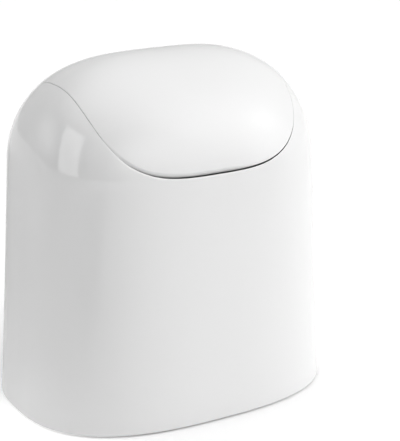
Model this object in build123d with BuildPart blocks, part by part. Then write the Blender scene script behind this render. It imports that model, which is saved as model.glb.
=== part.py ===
from build123d import *
import os
from math import copysign, cos, pi, radians, sin, tan

# Countertop trash can with a swing lid, in millimetres.
# +Z is up, the front faces -Y, and the origin is on the counter under the middle of the can.

# ---------------------------------------------------------------------------
# Driving dimensions
# ---------------------------------------------------------------------------

# Outer shell: drafted walls that turn into a low dome in one sweep
shell_width = 166.0
shell_depth = 120.0
shell_height = 174.0
shell_wall = 2.4
shell_above_counter = 1.0
side_draft = 2.84
front_draft = 2.06
foot_flare = 0.65
foot_flare_height = 61.0
shoulder_height = 122.0
plan_roundness = 2.65
dome_side_rise = 2.15
dome_side_spread = 3.24
dome_front_rise = 1.85
dome_front_spread = 1.93

# Lid opening: front and rear edges lean with the lid's swing, the sides are upright
lip_height = 125.1
opening_width = 114.0
opening_roundness = 2.89
swing_draft = 27.9
seam_gap = 0.5

# Swing lid: cheeks hang from the skin and carry the pivots and the weights
cheek_thickness = 2.4
cheek_inset = 1.2
cheek_half_width = 8.5
cheek_gusset_half_width = 22.0
hub_radius = 9.0
rib_thickness = 1.6
rib_depth = 4.0
rib_edge_margin = 8.0
cross_rib_offset = 24.0
long_rib_offset = 22.0
swing_angle = 55.0

# Pivots and stops
pin_diameter = 4.0
pin_head_diameter = 7.5
pin_head_thickness = 1.4
pin_running_clearance = 0.05
bush_wall = 1.0
bush_flange_diameter = 8.6
lug_radius_from_pivot = 11.0
lug_diameter = 3.2
sleeve_wall = 1.0
sleeve_length = 2.6
stop_clearance = 0.3

# Lid weights: steel slugs in pockets at the foot of each cheek
weight_length = 18.0
weight_height = 9.0
weight_thickness = 6.0
weight_below_pivot = 26.0
pocket_wall = 1.6

# Pivot brackets and their screws
bracket_thickness = 3.0
bracket_gap = 0.8
bracket_edge = 2.0
bracket_foot_thickness = 3.0
bracket_foot_length = 37.0
screw_spacing = 28.0
screw_diameter = 3.0
screw_grip = 7.0
screw_tip_room = 0.8
screw_head_diameter = 5.6
screw_head_height = 2.2
boss_diameter = 6.6

# Base tray and feet
tray_floor = 2.6
tray_wall = 2.0
tray_height = 12.0
tray_clearance = 0.6
locating_rim_height = 3.0
foot_diameter = 12.0
foot_recess = 1.2
foot_inset_x = 26.0
foot_inset_y = 24.0
shell_rest_rib_height = 16.0
shell_rest_rib_thickness = 2.0
shell_rest_rib_offset = 36.0

# Inner bucket and bag ring
bucket_rim_height = 103.0
bucket_rim_gap = 4.5
bucket_flange = 3.0
bucket_flange_thickness = 1.8
bucket_wall = 1.8
bucket_floor = 2.0
bucket_draft = 2.5
ring_wall = 1.8
ring_skirt = 9.0
ring_inner_cover = 1.0

# Clearances between pieces
seat_gap = 0.3
slide_gap = 0.5
fit_gap = 0.05

# Enough points for a smooth closed outline, and levels for a smooth dome
outline_points = 24
dome_levels = 10
dome_cap_angle = 80.0
overrun = 5.0

os.makedirs("parts", exist_ok=True)


# ---------------------------------------------------------------------------
# Forms that several pieces share
# ---------------------------------------------------------------------------

def arch(climb, rise, spread):
    """Share of the half size that is left at a climb of 0 (shoulder) to 1 (crown)."""
    return max(0.0, 1 - climb**rise) ** (1 / spread)


def half_sizes(z, inset):
    """Half width and half depth of the shell's form at height z, moved inward by inset."""
    climb = max(0.0, (z - shoulder_height) / (shell_height - inset - shoulder_height))
    flare = foot_flare * max(0.0, 1 - max(z, 0.0) / foot_flare_height) ** 2 - foot_flare
    half_x = shell_width / 2 - z * tan(radians(side_draft)) + flare - inset
    half_y = shell_depth / 2 - z * tan(radians(front_draft)) + flare - inset
    return (
        half_x * arch(climb, dome_side_rise, dome_side_spread),
        half_y * arch(climb, dome_front_rise, dome_front_spread),
    )


def level_outline(z, half_x, half_y, exponent):
    """Closed superellipse |x/half_x|^n + |y/half_y|^n = 1 at height z, as a face."""
    points = []
    for step in range(outline_points):
        angle = 2 * pi * step / outline_points
        x = copysign(abs(cos(angle)) ** (2 / exponent), cos(angle)) * half_x
        y = copysign(abs(sin(angle)) ** (2 / exponent), sin(angle)) * half_y
        points.append((x, y))
    with BuildSketch(Plane.XY.offset(z)) as level:
        with BuildLine():
            Spline(*points, periodic=True)
        make_face()
    return level.sketch


def shell_outline(z, inset):
    """Level outline of the shell's form at height z."""
    half_x, half_y = half_sizes(z, inset)
    return level_outline(z, half_x, half_y, plan_roundness)


def shell_form(inset, bottom):
    """Solid of the shell's form from bottom to its crown, moved inward by inset."""
    straight = [bottom] + [shoulder_height * share for share in (0.15, 0.3, 0.5, 0.7, 0.85, 0.95, 1.0)]
    dome_height = shell_height - inset - shoulder_height
    climbs = []
    for step in range(1, dome_levels + 1):
        spread_left = cos(radians(dome_cap_angle * step / dome_levels))
        climbs.append((1 - spread_left**dome_side_spread) ** (1 / dome_side_rise))
    heights = straight + [shoulder_height + dome_height * climb for climb in climbs]
    with BuildPart() as form:
        loft(sections=[shell_outline(z, inset) for z in heights])
    return form.part


def opening_plug(offset_out):
    """Wedge that the lid opening is cut with, grown or shrunk by offset_out."""
    sections = []
    for z in (lip_height - 4 * overrun, shell_height + 2 * overrun):
        half_y = lip_half_depth + (z - lip_height) * tan(radians(swing_draft)) + offset_out
        half_x = opening_width / 2 + offset_out
        sections.append(level_outline(z, half_x, half_y, opening_roundness))
    with BuildPart() as plug:
        loft(sections=sections, ruled=True)
    return plug.part


def tub_form(bottom, top, bottom_halves, top_halves):
    """Straight-sided tapered solid between two level outlines."""
    with BuildPart() as tub:
        loft(
            sections=[
                level_outline(bottom, *bottom_halves, plan_roundness),
                level_outline(top, *top_halves, plan_roundness),
            ],
            ruled=True,
        )
    return tub.part


def shrunk(halves, inset):
    """A pair of half sizes, both less inset."""
    return halves[0] - inset, halves[1] - inset


def finish_piece(builder, name):
    """Label a finished piece and write its STEP file."""
    builder.part.label = name
    export_step(builder.part, f"parts/{name}.step")


# ---------------------------------------------------------------------------
# Places that follow from the driving dimensions
# ---------------------------------------------------------------------------

lip_half_depth = half_sizes(lip_height, 0.0)[1]
lip_lean = tan(radians(swing_draft))
cut_middle_z = lip_height - shell_wall / 2 / lip_lean
pivot_height = cut_middle_z + (lip_half_depth - shell_wall / 2) * lip_lean
cheek_outer = opening_width / 2 - seam_gap / 2 - cheek_inset
cheek_inner = cheek_outer - cheek_thickness
bracket_inner = opening_width / 2 - seam_gap / 2 + bracket_gap
bracket_outer = bracket_inner + bracket_thickness
bush_flange_thickness = bracket_inner - cheek_outer - seat_gap
bush_radius = pin_diameter / 2 + pin_running_clearance + bush_wall
sleeve_radius = lug_diameter / 2 + sleeve_wall
slot_width = 2 * (sleeve_radius + stop_clearance)
stop_slot = CenterArc(
    (0, pivot_height), lug_radius_from_pivot, -90 - swing_angle, 2 * swing_angle
)
bracket_reach = lug_radius_from_pivot + slot_width / 2 + bracket_edge
bracket_foot_top = pivot_height - bracket_reach + bracket_edge / 2
bracket_foot_bottom = bracket_foot_top - bracket_foot_thickness
screw_x = bracket_outer + boss_diameter / 2 + slide_gap
bracket_foot_width = screw_x + boss_diameter / 2 - bracket_inner
weight_centre = pivot_height - weight_below_pivot
tray_bottom = shell_above_counter
tray_floor_top = tray_bottom + tray_floor
tray_halves = half_sizes(tray_height, shell_wall + tray_clearance)
rest_rib_bottom = tray_height + seat_gap
bucket_bottom = tray_floor_top + seat_gap
bucket_rim_halves = half_sizes(bucket_rim_height, shell_wall + bucket_rim_gap)
bucket_top_halves = shrunk(bucket_rim_halves, bucket_flange)
bucket_taper = (bucket_rim_height - bucket_bottom) * tan(radians(bucket_draft))
bucket_foot_halves = shrunk(bucket_top_halves, bucket_taper)
ring_bottom = bucket_rim_height + seat_gap
ring_top = ring_bottom + ring_wall
foot_x = shell_width / 2 - foot_inset_x
foot_y = shell_depth / 2 - foot_inset_y
sides = {"left": -1, "right": 1}

outer_form = shell_form(0.0, shell_above_counter)
inner_form = shell_form(shell_wall, shell_above_counter - overrun)
mid_wall_form = shell_form(shell_wall / 2, shell_above_counter - overrun)
rib_floor_form = shell_form(shell_wall + rib_depth, shell_above_counter - overrun)
clear_of_shell_form = shell_form(shell_wall + slide_gap, shell_above_counter - overrun)

# ---------------------------------------------------------------------------
# Outer shell: one moulding from the counter to the rim of the lid opening
# ---------------------------------------------------------------------------

screw_places = [
    (side * screw_x, end * screw_spacing / 2) for side in (-1, 1) for end in (-1, 1)
]

# Screw bosses hang straight down from the ears, so the moulding draws off its core
with BuildPart() as screw_bosses:
    with Locations(*[(x, y, bracket_foot_top) for x, y in screw_places]):
        Cylinder(
            boss_diameter / 2,
            shell_height - bracket_foot_top,
            align=(Align.CENTER, Align.CENTER, Align.MIN),
        )
        Cylinder(
            screw_diameter / 2 + fit_gap,
            screw_grip + screw_tip_room,
            align=(Align.CENTER, Align.CENTER, Align.MIN),
            mode=Mode.SUBTRACT,
        )
    add(mid_wall_form, mode=Mode.INTERSECT, clean=False)

# Ribs inside the wall stand on the rim of the base tray and carry the shell
with BuildPart() as rest_ribs:
    with Locations((0, 0, rest_rib_bottom)):
        Box(
            shell_width,
            shell_rest_rib_thickness,
            shell_rest_rib_height,
            align=(Align.CENTER, Align.CENTER, Align.MIN),
        )
    for x in (-shell_rest_rib_offset, shell_rest_rib_offset):
        with Locations((x, 0, rest_rib_bottom)):
            Box(
                shell_rest_rib_thickness,
                shell_depth,
                shell_rest_rib_height,
                align=(Align.CENTER, Align.CENTER, Align.MIN),
            )
    extrude(
        level_outline(rest_rib_bottom, *shrunk(tray_halves, tray_wall), plan_roundness),
        amount=shell_rest_rib_height,
        mode=Mode.SUBTRACT,
    )
    add(mid_wall_form, mode=Mode.INTERSECT, clean=False)

with BuildPart() as outer_shell:
    add(outer_form)
    add(inner_form, mode=Mode.SUBTRACT, clean=False)
    add(opening_plug(seam_gap / 2), mode=Mode.SUBTRACT, clean=False)
    add(screw_bosses.part, clean=False)
    add(rest_ribs.part, clean=False)
finish_piece(outer_shell, "outer_shell")

# ---------------------------------------------------------------------------
# Swing lid: dome skin, stiffening ribs, and a cheek at each side
# ---------------------------------------------------------------------------

# Ribs under the skin, all of one depth below it
with BuildPart() as lid_ribs:
    for y in (-cross_rib_offset, 0, cross_rib_offset):
        with Locations((0, y, lip_height)):
            Box(
                2 * cheek_inner - rib_edge_margin,
                rib_thickness,
                shell_height,
                align=(Align.CENTER, Align.CENTER, Align.MIN),
            )
    for x in (-long_rib_offset, long_rib_offset):
        with Locations((x, 0, lip_height)):
            Box(
                rib_thickness,
                2 * (lip_half_depth - rib_edge_margin),
                shell_height,
                align=(Align.CENTER, Align.CENTER, Align.MIN),
            )
    add(rib_floor_form, mode=Mode.SUBTRACT, clean=False)

# Cheeks: a gusset up to the skin, a hub at the pivot, a bar down to the weight's pocket
pocket_depth = weight_thickness + fit_gap
pocket_centre_x = cheek_inner - pocket_depth / 2
pocket_length = weight_length + 2 * (pocket_wall + fit_gap)
pocket_height = weight_height + 2 * (pocket_wall + fit_gap)
gusset_foot = pivot_height + hub_radius / 3
with BuildPart() as lid_frame:
    add(lid_ribs.part)
    for side in sides.values():
        with BuildSketch(Plane.YZ.offset(side * cheek_inner)):
            with Locations((0, pivot_height)):
                Circle(hub_radius)
            with Locations((0, (pivot_height + weight_centre) / 2)):
                Rectangle(2 * cheek_half_width, weight_below_pivot)
            with Locations((0, gusset_foot)):
                Rectangle(
                    2 * cheek_gusset_half_width,
                    shell_height - gusset_foot,
                    align=(Align.CENTER, Align.MIN),
                )
            with Locations((0, weight_centre)):
                Rectangle(pocket_length, pocket_height)
            with Locations((0, pivot_height)):
                Circle(pin_diameter / 2 + fit_gap, mode=Mode.SUBTRACT)
        extrude(amount=side * cheek_thickness)
        # Pocket for the weight, open towards the middle of the can
        with Locations((side * pocket_centre_x, 0, weight_centre)):
            Box(pocket_depth, pocket_length, pocket_height)
            Box(
                pocket_depth,
                pocket_length - 2 * pocket_wall,
                pocket_height - 2 * pocket_wall,
                mode=Mode.SUBTRACT,
            )
        # Stop lug that runs in the bracket's slot
        with Locations((side * cheek_outer, 0, pivot_height - lug_radius_from_pivot)):
            Cylinder(
                lug_diameter / 2,
                bracket_outer - cheek_outer,
                rotation=(0, side * 90, 0),
                align=(Align.CENTER, Align.CENTER, Align.MIN),
            )
    add(mid_wall_form, mode=Mode.INTERSECT, clean=False)

with BuildPart() as swing_lid:
    add(outer_form)
    add(opening_plug(-seam_gap / 2), mode=Mode.INTERSECT, clean=False)
    add(inner_form, mode=Mode.SUBTRACT, clean=False)
    add(lid_frame.part, clean=False)
finish_piece(swing_lid, "swing_lid")

# ---------------------------------------------------------------------------
# Pivots, weights and stops, one of each at each side
# ---------------------------------------------------------------------------

for name, side in sides.items():
    outward = (0, side * 90, 0)

    # Headed pin, put in from the middle of the can, turns with the lid
    with BuildPart() as pivot_pin:
        with Locations((side * cheek_inner, 0, pivot_height)):
            Cylinder(
                pin_diameter / 2,
                bracket_outer - cheek_inner,
                rotation=outward,
                align=(Align.CENTER, Align.CENTER, Align.MIN),
            )
            Cylinder(
                pin_head_diameter / 2,
                pin_head_thickness,
                rotation=outward,
                align=(Align.CENTER, Align.CENTER, Align.MAX),
            )
        chamfer(pivot_pin.edges().sort_by(Axis.X)[-1 if side > 0 else 0], 0.4)
    finish_piece(pivot_pin, f"pivot_pin_{name}")

    # Flanged bush in the bracket, where the pin turns
    with BuildPart() as pivot_bush:
        with Locations((side * bracket_inner, 0, pivot_height)):
            Cylinder(
                bush_radius,
                bracket_thickness,
                rotation=outward,
                align=(Align.CENTER, Align.CENTER, Align.MIN),
            )
            Cylinder(
                bush_flange_diameter / 2,
                bush_flange_thickness,
                rotation=outward,
                align=(Align.CENTER, Align.CENTER, Align.MAX),
            )
            Cylinder(
                pin_diameter / 2 + pin_running_clearance,
                2 * (bracket_thickness + bush_flange_thickness),
                rotation=outward,
                mode=Mode.SUBTRACT,
            )
    finish_piece(pivot_bush, f"pivot_bush_{name}")

    # Steel slug in the cheek's pocket
    with BuildPart() as lid_weight:
        with Locations((side * pocket_centre_x, 0, weight_centre)):
            Box(weight_thickness, weight_length, weight_height)
        chamfer(lid_weight.edges().filter_by(Axis.X), 0.6)
    finish_piece(lid_weight, f"lid_weight_{name}")

    # Soft sleeve on the stop lug, which meets the ends of the bracket's slot
    with BuildPart() as stop_sleeve:
        with Locations((side * bracket_inner, 0, pivot_height - lug_radius_from_pivot)):
            Cylinder(
                sleeve_radius,
                sleeve_length,
                rotation=outward,
                align=(Align.CENTER, Align.CENTER, Align.MIN),
            )
            Cylinder(
                lug_diameter / 2 + fit_gap,
                sleeve_length,
                rotation=outward,
                align=(Align.CENTER, Align.CENTER, Align.MIN),
                mode=Mode.SUBTRACT,
            )
    finish_piece(stop_sleeve, f"stop_sleeve_{name}")

    # Bracket: upright plate with the bush hole and the stop slot, on a screwed foot
    with BuildPart() as pivot_bracket:
        with BuildSketch(Plane.YZ.offset(side * bracket_inner)):
            with Locations((0, pivot_height)):
                Circle(bracket_reach)
            with Locations((0, pivot_height - bracket_edge)):
                Rectangle(
                    2 * bracket_reach,
                    bracket_reach + bracket_edge,
                    align=(Align.CENTER, Align.MIN),
                    mode=Mode.SUBTRACT,
                )
            with Locations((0, pivot_height)):
                Circle(bush_radius + bracket_edge)
                Circle(bush_radius + fit_gap, mode=Mode.SUBTRACT)
            SlotArc(stop_slot, slot_width, mode=Mode.SUBTRACT)
        extrude(amount=side * bracket_thickness)
        foot_middle_x = side * (bracket_inner + bracket_foot_width / 2)
        with BuildSketch(Plane.XY.offset(bracket_foot_bottom)):
            with Locations((foot_middle_x, 0)):
                RectangleRounded(bracket_foot_width, bracket_foot_length, bracket_edge)
            with Locations(*[(side * screw_x, end * screw_spacing / 2) for end in (-1, 1)]):
                Circle(screw_diameter / 2 + fit_gap, mode=Mode.SUBTRACT)
        extrude(amount=bracket_foot_thickness)
        add(clear_of_shell_form, mode=Mode.INTERSECT)
    finish_piece(pivot_bracket, f"pivot_bracket_{name}")

    # Two pan-head screws, driven up into the bosses
    with BuildPart() as bracket_screws:
        with Locations(
            *[(side * screw_x, end * screw_spacing / 2, bracket_foot_bottom) for end in (-1, 1)]
        ):
            Cylinder(
                screw_diameter / 2,
                bracket_foot_thickness + screw_grip,
                align=(Align.CENTER, Align.CENTER, Align.MIN),
            )
            Cylinder(
                screw_head_diameter / 2,
                screw_head_height,
                align=(Align.CENTER, Align.CENTER, Align.MAX),
            )
        head_rims = bracket_screws.edges().filter_by(GeomType.CIRCLE).group_by(Axis.Z)[0]
        fillet(head_rims, screw_head_height / 3)
        with Locations(
            *[
                (side * screw_x, end * screw_spacing / 2, bracket_foot_bottom - screw_head_height)
                for end in (-1, 1)
            ]
        ):
            for turn in (0, 90):
                Box(
                    screw_head_diameter / 2,
                    screw_head_diameter / 7,
                    screw_head_height / 2,
                    rotation=(0, 0, turn),
                    align=(Align.CENTER, Align.CENTER, Align.MIN),
                    mode=Mode.SUBTRACT,
                )
    finish_piece(bracket_screws, f"bracket_screws_{name}")

# ---------------------------------------------------------------------------
# Base tray and its feet
# ---------------------------------------------------------------------------

foot_places = {
    "front_left": (-foot_x, -foot_y),
    "front_right": (foot_x, -foot_y),
    "rear_left": (-foot_x, foot_y),
    "rear_right": (foot_x, foot_y),
}

with BuildPart() as base_tray:
    extrude(
        level_outline(tray_bottom, *tray_halves, plan_roundness),
        amount=tray_height - tray_bottom,
    )
    extrude(
        level_outline(tray_floor_top, *shrunk(tray_halves, tray_wall), plan_roundness),
        amount=tray_height,
        mode=Mode.SUBTRACT,
    )
    # Low rim that keeps the bucket in the middle
    locating_halves = shrunk(bucket_foot_halves, -slide_gap)
    extrude(
        level_outline(tray_floor_top, *shrunk(locating_halves, -tray_wall), plan_roundness),
        amount=locating_rim_height,
    )
    extrude(
        level_outline(tray_floor_top, *locating_halves, plan_roundness),
        amount=locating_rim_height,
        mode=Mode.SUBTRACT,
    )
    with Locations(*[(x, y, tray_bottom) for x, y in foot_places.values()]):
        Cylinder(
            foot_diameter / 2 + fit_gap,
            foot_recess,
            align=(Align.CENTER, Align.CENTER, Align.MIN),
            mode=Mode.SUBTRACT,
        )
finish_piece(base_tray, "base_tray")

for name, (x, y) in foot_places.items():
    with BuildPart() as base_foot:
        with Locations((x, y, 0)):
            Cylinder(
                foot_diameter / 2,
                tray_bottom + foot_recess,
                align=(Align.CENTER, Align.CENTER, Align.MIN),
            )
        fillet(base_foot.edges().sort_by(Axis.Z)[0], tray_bottom / 2)
    finish_piece(base_foot, f"foot_{name}")

# ---------------------------------------------------------------------------
# Inner bucket, and the ring that holds the bag over its rim
# ---------------------------------------------------------------------------

with BuildPart() as inner_bucket:
    add(tub_form(bucket_bottom, bucket_rim_height, bucket_foot_halves, bucket_top_halves))
    rim_bottom = bucket_rim_height - bucket_flange_thickness
    extrude(
        level_outline(rim_bottom, *bucket_rim_halves, plan_roundness),
        amount=bucket_flange_thickness,
    )
    add(
        tub_form(
            bucket_bottom + bucket_floor,
            bucket_rim_height + overrun,
            shrunk(bucket_foot_halves, bucket_wall),
            shrunk(bucket_top_halves, bucket_wall - overrun * tan(radians(bucket_draft))),
        ),
        mode=Mode.SUBTRACT,
    )
finish_piece(inner_bucket, "inner_bucket")

skirt_halves = shrunk(bucket_rim_halves, -slide_gap)
ring_hole_halves = shrunk(bucket_top_halves, bucket_wall + ring_inner_cover)
with BuildPart() as bag_ring:
    extrude(
        level_outline(ring_top - ring_skirt, *shrunk(skirt_halves, -ring_wall), plan_roundness),
        amount=ring_skirt,
    )
    extrude(
        level_outline(ring_top - ring_skirt, *skirt_halves, plan_roundness),
        amount=ring_skirt - ring_wall,
        mode=Mode.SUBTRACT,
    )
    extrude(
        level_outline(ring_top - ring_skirt, *ring_hole_halves, plan_roundness),
        amount=ring_skirt,
        mode=Mode.SUBTRACT,
    )
    fillet(bag_ring.faces().sort_by(Axis.Z)[-1].edges(), ring_wall / 3)
finish_piece(bag_ring, "bag_ring")
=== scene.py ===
"""Looks of a countertop trash can with a swing lid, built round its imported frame.

Lengths are in metres. X runs to the can's right, Y to its rear and Z up from the counter.
"""

import logging
import math
from collections.abc import Callable
from dataclasses import dataclass, field
from enum import Enum

import bpy
import numpy as np
from mathutils import Matrix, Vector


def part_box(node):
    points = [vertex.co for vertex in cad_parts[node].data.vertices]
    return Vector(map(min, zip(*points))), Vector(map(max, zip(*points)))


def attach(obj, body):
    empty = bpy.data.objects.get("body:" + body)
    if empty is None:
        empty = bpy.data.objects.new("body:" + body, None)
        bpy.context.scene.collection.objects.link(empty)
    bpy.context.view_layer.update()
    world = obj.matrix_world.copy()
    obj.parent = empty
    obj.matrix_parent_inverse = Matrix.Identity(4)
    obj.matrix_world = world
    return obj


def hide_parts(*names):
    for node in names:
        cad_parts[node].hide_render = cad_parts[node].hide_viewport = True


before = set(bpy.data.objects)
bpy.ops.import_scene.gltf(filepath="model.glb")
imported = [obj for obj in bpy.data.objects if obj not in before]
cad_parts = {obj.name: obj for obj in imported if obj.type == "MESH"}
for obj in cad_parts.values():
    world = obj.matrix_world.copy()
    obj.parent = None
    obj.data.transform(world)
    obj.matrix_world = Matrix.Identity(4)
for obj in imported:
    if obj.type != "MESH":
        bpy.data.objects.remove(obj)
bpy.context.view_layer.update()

log = logging.getLogger("swing_lid_can")
Point = tuple[float, float, float]
Shade = tuple[float, float, float]

MM = 0.001
HAIR = 0.01 * MM  # a step too small to see
TINY = 1e-9  # keeps a division by a vanishing size finite
HALVINGS = 44  # rounds of halving that take an interval down to nothing
ROUND_DIP = 0.3  # how far the middle of a rounded edge lies inside its corner, in radii
CRISP_ANGLE = math.radians(35)  # sharper edges aren't shaded smooth
BEVEL_ANGLE = math.radians(40)  # sharper edges of a bar are softened
PATCH_LIFT = 2.0 * MM  # height of a gloss patch above the counter
NO_TRIANGLES = np.zeros((0, 3), int)


# ---------------------------------------------------------------------------
# Shader expressions
# ---------------------------------------------------------------------------

class Signal:
    """A shader value that adds Math nodes when it is used in a Python expression."""

    def __init__(self, board: "NodeBoard", socket: bpy.types.NodeSocket | None) -> None:
        """Wraps one output socket of a board's node tree."""
        self.board = board
        self.socket = socket

    def _math(self, operation: str, first: object, second: object) -> "Signal":
        """Adds one Math node and wraps its result."""
        return self.board.node("ShaderNodeMath", {"operation": operation}, {0: first, 1: second})

    def __add__(self, other: object) -> "Signal":
        """self + other."""
        return self._math("ADD", self, other)

    __radd__ = __add__

    def __sub__(self, other: object) -> "Signal":
        """self - other."""
        return self._math("SUBTRACT", self, other)

    def __rsub__(self, other: object) -> "Signal":
        """other - self."""
        return self._math("SUBTRACT", other, self)

    def __mul__(self, other: object) -> "Signal":
        """self * other."""
        return self._math("MULTIPLY", self, other)

    __rmul__ = __mul__

    def __pow__(self, other: object) -> "Signal":
        """self to the power of other."""
        return self._math("POWER", self, other)

    def clamped(self, low: float, high: float) -> "Signal":
        """self, kept between low and high."""
        return self._math("MINIMUM", self._math("MAXIMUM", self, low), high)


class NodeBoard:
    """A node tree with one method that makes any node."""

    def __init__(self, tree: bpy.types.NodeTree) -> None:
        """Takes over a tree and empties it."""
        self.tree = tree
        self.tree.nodes.clear()

    def node(self, kind: str, settings: dict, sockets: dict, output: object = 0) -> Signal:
        """Makes a node.

        Args:
            kind: Blender's node type.
            settings: the node's own attributes, set first.
            sockets: input name or number to a value or a Signal.
            output: name or number of the output that is returned, or None.

        Returns:
            The wrapped output socket.
        """
        made = self.tree.nodes.new(kind)
        for key, value in settings.items():
            setattr(made, key, value)
        for key, value in sockets.items():
            self.feed(made.inputs[key], value)
        return Signal(self, None if output is None else made.outputs[output])

    def feed(self, socket: bpy.types.NodeSocket, value: object) -> None:
        """Links a Signal to an input socket, or sets the socket's own value.

        Args:
            socket: the input socket.
            value: a Signal, a number, a colour or a vector.
        """
        if isinstance(value, Signal):
            self.tree.links.new(value.socket, socket)
        else:
            socket.default_value = value


@dataclass(frozen=True)
class Blotch:
    """A soft noise: length of one blotch, number of finer layers, and stretch along X, Y, Z."""

    size: float
    detail: float = 3.0
    stretch: tuple[float, float, float] = (1.0, 1.0, 1.0)


class Paint(NodeBoard):
    """The node tree of one material, round a Principled shader."""

    def __init__(self, name: str) -> None:
        """Starts a material with a Principled shader on its output.

        Args:
            name: the material's name.
        """
        self.material = bpy.data.materials.new(name)
        self.material.use_nodes = True
        super().__init__(self.material.node_tree)
        self.shader = self.tree.nodes.new("ShaderNodeBsdfPrincipled")
        output = self.tree.nodes.new("ShaderNodeOutputMaterial")
        self.tree.links.new(self.shader.outputs[0], output.inputs["Surface"])

    def place(self) -> Signal:
        """The point on the piece, in metres, in the can's frame."""
        return self.node("ShaderNodeTexCoord", {}, {}, "Object")

    def noise(self, blotch: Blotch) -> Signal:
        """Soft noise from 0 to 1.

        Args:
            blotch: its size, layers and stretch.

        Returns:
            The noise value.
        """
        squeeze = tuple(1.0 / (blotch.size * share) for share in blotch.stretch)
        scaled = self.node(
            "ShaderNodeVectorMath", {"operation": "MULTIPLY"}, {0: self.place(), 1: squeeze}
        )
        sockets = {"Vector": scaled, "Scale": 1.0, "Detail": blotch.detail}
        return self.node("ShaderNodeTexNoise", {}, sockets, "Fac")

    def tint(self, factor: Signal, low: Shade, high: Shade) -> None:
        """Mixes two base colours.

        Args:
            factor: share of the second colour, from 0 to 1.
            low: the first colour.
            high: the second colour.
        """
        mixed_shade = self.node(
            "ShaderNodeMix",
            {"data_type": "RGBA", "clamp_factor": True},
            {0: factor, 6: (*low, 1.0), 7: (*high, 1.0)},
            2,
        )
        self.feed(self.shader.inputs["Base Color"], mixed_shade)

    def roughen(self, roughness: Signal, limits: tuple[float, float]) -> None:
        """Sends a roughness, kept between two limits, to the shader."""
        self.feed(self.shader.inputs["Roughness"], roughness.clamped(*limits))

    def bump(self, height: Signal, distance: float, strength: float = 1.0) -> None:
        """Sends a height to the shader's normal through a Bump node.

        Args:
            height: height from 0 to 1.
            distance: how far a height of 1 stands out.
            strength: share of the effect that is kept.
        """
        sockets = {"Height": height, "Distance": distance, "Strength": strength}
        lifted = self.node("ShaderNodeBump", {}, sockets, "Normal")
        self.feed(self.shader.inputs["Normal"], lifted)


# ---------------------------------------------------------------------------
# Finishes
# ---------------------------------------------------------------------------

def shifted(shade: Shade, step: float) -> Shade:
    """A shade made lighter by a step, or darker where the step is negative."""
    return tuple(part + step for part in shade)


def scaled(shade: Shade, factor: float) -> Shade:
    """A shade multiplied by a factor."""
    return tuple(part * factor for part in shade)


@dataclass(frozen=True)
class GlossMoulding:
    """Polished white plastic: faint drift of tone, orange peel, and hairline scuffs."""

    name: str = "gloss_white"
    shade: Shade = (0.80, 0.80, 0.80)
    drift: float = 0.012
    tone: Blotch = Blotch(60 * MM, 2.0, (1.0, 1.0, 1.8))
    roughness: float = 0.08
    limits: tuple[float, float] = (0.04, 0.6)
    scuffs: Blotch = Blotch(1.1 * MM, 4.0, (1.0, 9.0, 1.4))
    scuff_rarity: float = 6.0
    scuff_roughness: float = 0.3
    haze: Blotch = Blotch(22 * MM)
    haze_roughness: float = 0.04
    peel: Blotch = Blotch(2.4 * MM, 2.0)
    peel_depth: float = 0.0012 * MM
    refraction: float = 1.5

    def make(self) -> bpy.types.Material:
        """Builds the material.

        Roughness is its mean, plus the haze about 0, plus scuffs^rarity * scuff_roughness.

        Returns:
            The material.
        """
        board = Paint(self.name)
        board.tint(
            board.noise(self.tone),
            shifted(self.shade, -self.drift),
            shifted(self.shade, self.drift),
        )
        scuff = board.noise(self.scuffs) ** self.scuff_rarity * self.scuff_roughness
        haze = board.noise(self.haze) * self.haze_roughness
        board.roughen(haze + scuff + (self.roughness - self.haze_roughness / 2), self.limits)
        board.bump(board.noise(self.peel), self.peel_depth)
        board.shader.inputs["IOR"].default_value = self.refraction
        return board.material


@dataclass(frozen=True)
class SatinMoulding:
    """Moulded plastic with a fine spark-eroded grain and rubbed patches."""

    name: str
    shade: Shade
    roughness: float = 0.42
    limits: tuple[float, float] = (0.1, 0.9)
    drift: float = 0.02
    tone: Blotch = Blotch(35 * MM)
    rub: Blotch = Blotch(9 * MM, 4.0)
    rub_roughness: float = 0.14
    grain: Blotch = Blotch(0.35 * MM, 2.0)
    grain_depth: float = 0.02 * MM
    grain_strength: float = 0.6

    def make(self) -> bpy.types.Material:
        """Builds the material.

        Returns:
            The material.
        """
        board = Paint(self.name)
        board.tint(
            board.noise(self.tone),
            shifted(self.shade, -self.drift),
            shifted(self.shade, self.drift),
        )
        rub = board.noise(self.rub) * self.rub_roughness
        board.roughen(rub + (self.roughness - self.rub_roughness / 2), self.limits)
        board.bump(board.noise(self.grain), self.grain_depth, self.grain_strength)
        return board.material


@dataclass(frozen=True)
class TurnedSteel:
    """Plain steel with tool lines round its axis and slight tarnish."""

    name: str = "plain_steel"
    shade: Shade = (0.60, 0.60, 0.61)
    roughness: float = 0.3
    limits: tuple[float, float] = (0.1, 0.8)
    stain: Blotch = Blotch(5 * MM, 4.0)
    stain_shade: float = 0.86
    lines: Blotch = Blotch(0.12 * MM, 2.0, (1.0, 30.0, 30.0))
    line_roughness: float = 0.2
    line_depth: float = 0.01 * MM
    line_strength: float = 0.5

    def make(self) -> bpy.types.Material:
        """Builds the material.

        Returns:
            The material.
        """
        board = Paint(self.name)
        board.tint(board.noise(self.stain), scaled(self.shade, self.stain_shade), self.shade)
        lines = board.noise(self.lines)
        board.roughen(
            lines * self.line_roughness + (self.roughness - self.line_roughness / 2), self.limits
        )
        board.bump(lines, self.line_depth, self.line_strength)
        board.shader.inputs["Metallic"].default_value = 1.0
        return board.material


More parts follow.
